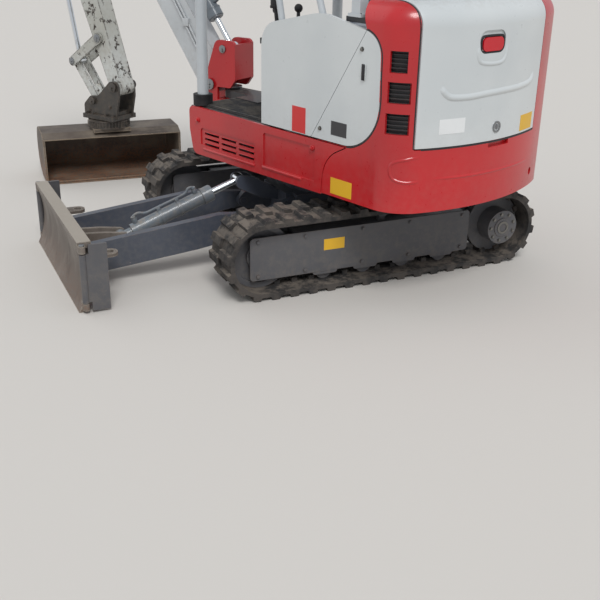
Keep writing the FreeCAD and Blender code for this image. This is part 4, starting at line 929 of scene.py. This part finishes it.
for body, out in (("track_left", 1), ("track_right", -1)):
    bm = bmesh.new()
    for i in range(driveLook["bolts"]):
        a = math.tau * i / driveLook["bolts"]
        at = (-track["wheelX"] + driveLook["pitch"] * math.cos(a), out * driveLook["face"],
              track["axleZ"] + driveLook["pitch"] * math.sin(a))
        addBolt(bm, at, (0, out, 0), driveLook["bolt"])
    at = (-track["wheelX"], out * driveLook["plugFace"], track["axleZ"])
    addRing(bm, at, (0, out, 0), *driveLook["plug"])
    addPiece("driveBolts_" + body, bm, boltZinc, body, machine)
    bm = bmesh.new()
    for x in frameBolts["x"]:
        for z in frameBolts["z"]:
            addBolt(bm, (x, out * frameBolts["face"], z), (0, out, 0), frameBolts["size"])
    addPiece("frameBolts_" + body, bm, charcoal, body, machine)
    bm = bmesh.new()
    for i in range(lugs["count"]):
        x, z, a = beltPoint(i / lugs["count"])
        turn = Matrix.Translation((x, out * track["y"], z)) @ Matrix.Rotation(a, 4, "Y")
        for y in lugs["rows"]:
            addBox(bm, (-lugs["halfLong"], y - lugs["halfWide"], lugs["low"]),
                   (lugs["halfLong"], y + lugs["halfWide"], lugs["high"]), place=turn)
    addPiece("guideLugs_" + body, bm, beltRubber, body, machine)

# the caps' measures in the order of addRound
bladePins = {"wing": (1.332, 0.4843), "wingZ": (0.2917, 0.0437), "wingCap": (0.0115, 0.008, 18, 0.0015),
             "arm": (0.4, 0.2285, 0.2), "armCap": (0.02, 0.004, 24, 0.001),
             "rod": (1.055, 0.0495, 0.14), "rodCap": (0.022, 0.006, 24, 0.0015)}
bm = bmesh.new()
for out in (-1, 1):
    x, y = bladePins["wing"]
    for z in bladePins["wingZ"]:
        addRound(bm, (x, out * y, z), upward, *bladePins["wingCap"])
    for at, cap in (("arm", "armCap"), ("rod", "rodCap")):
        x, y, z = bladePins[at]
        addRound(bm, (x, out * y, z), (0, out, 0), *bladePins[cap])
addPiece("bladePins", bm, pinSteel, "blade", machine)

welds = {"x": 1.2425, "uprights": (0.17, 0.222), "heights": (0.07, 0.13, 0.19), "radius": 0.004,
         "tops": (0.174, 0.196, 0.218), "topZ": 0.1965,
         "seam": ((1.291, -0.43, 0.277), (1.291, 0.0, 0.277), (1.291, 0.43, 0.277)), "seamRadius": 0.0035}
bm = bmesh.new()
for out in (-1, 1):
    for y in welds["uprights"]:
        addPipe(bm, [(welds["x"], out * y, z) for z in welds["heights"]], welds["radius"])
    addPipe(bm, [(welds["x"], out * y, welds["topZ"]) for y in welds["tops"]], welds["radius"])
addPipe(bm, welds["seam"], welds["seamRadius"])
addPiece("bladeWelds", bm, bladeSteel, "blade", machine)
print("undercarriage dressed")


# stage, light and camera
stageLook = {"half": 40, "floor": rgb(206, 202, 196), "sky": (0.92, 0.95, 1.0, 1.0), "skyStrength": 0.62,
             # each sun's turn, strength and width in degrees
             "suns": {"key": ((38, 12, 150), 1.7, 22), "fill": ((62, 0, 40), 0.35, 60)}}


def addStage():
    bm = bmesh.new()
    bmesh.ops.create_grid(bm, x_segments=1, y_segments=1, size=stageLook["half"])
    mesh = bpy.data.meshes.new("floor")
    bm.to_mesh(mesh)
    bm.free()
    f = Finish("stageFloor")
    mesh.materials.append(f.set(colour=stageLook["floor"], rough=0.85, specular=0.1))
    floor = bpy.data.objects.new("stageFloor", mesh)
    bpy.context.scene.collection.objects.link(floor)
    world = bpy.data.worlds.new("studio")
    bpy.context.scene.world = world
    world.use_nodes = True
    background = world.node_tree.nodes["Background"]
    background.inputs["Color"].default_value = stageLook["sky"]
    background.inputs["Strength"].default_value = stageLook["skyStrength"]
    for name, (turn, strength, width) in stageLook["suns"].items():
        light = bpy.data.lights.new(name, "SUN")
        light.energy = strength
        light.angle = math.radians(width)
        lamp = bpy.data.objects.new(name, light)
        lamp.rotation_euler = [math.radians(v) for v in turn]
        bpy.context.scene.collection.objects.link(lamp)


# the photograph's size and focal length in pixels, the row of its axis, and the camera in the machine's frame
photo = {"size": 600, "focal": 911.9, "axisRow": 308.65, "at": (1.978, 3.947, 1.546),
         "yaw": -2.006, "pitch": -0.416, "roll": 0.018, "sensor": 36}


def addCamera():
    yaw, pitch, roll = photo["yaw"], photo["pitch"], photo["roll"]
    ahead = Vector((math.cos(pitch) * math.cos(yaw), math.cos(pitch) * math.sin(yaw), math.sin(pitch)))
    level = ahead.cross(upward).normalized()
    plumb = level.cross(ahead)
    right = math.cos(roll) * level + math.sin(roll) * plumb
    up = math.cos(roll) * plumb - math.sin(roll) * level
    data = bpy.data.cameras.new("camera")
    data.sensor_width = photo["sensor"]
    data.lens = photo["focal"] / photo["size"] * photo["sensor"]
    data.shift_y = (photo["axisRow"] - photo["size"] / 2) / photo["size"]
    camera = bpy.data.objects.new("camera", data)
    turn = Matrix((right, up, -ahead)).transposed().to_4x4()
    camera.matrix_world = Matrix.Translation(machine @ Vector(photo["at"])) @ turn
    bpy.context.scene.collection.objects.link(camera)
    bpy.context.scene.camera = camera


addStage()
addCamera()
bpy.context.scene.view_settings.view_transform = "Standard"
print("stage, light and camera placed")
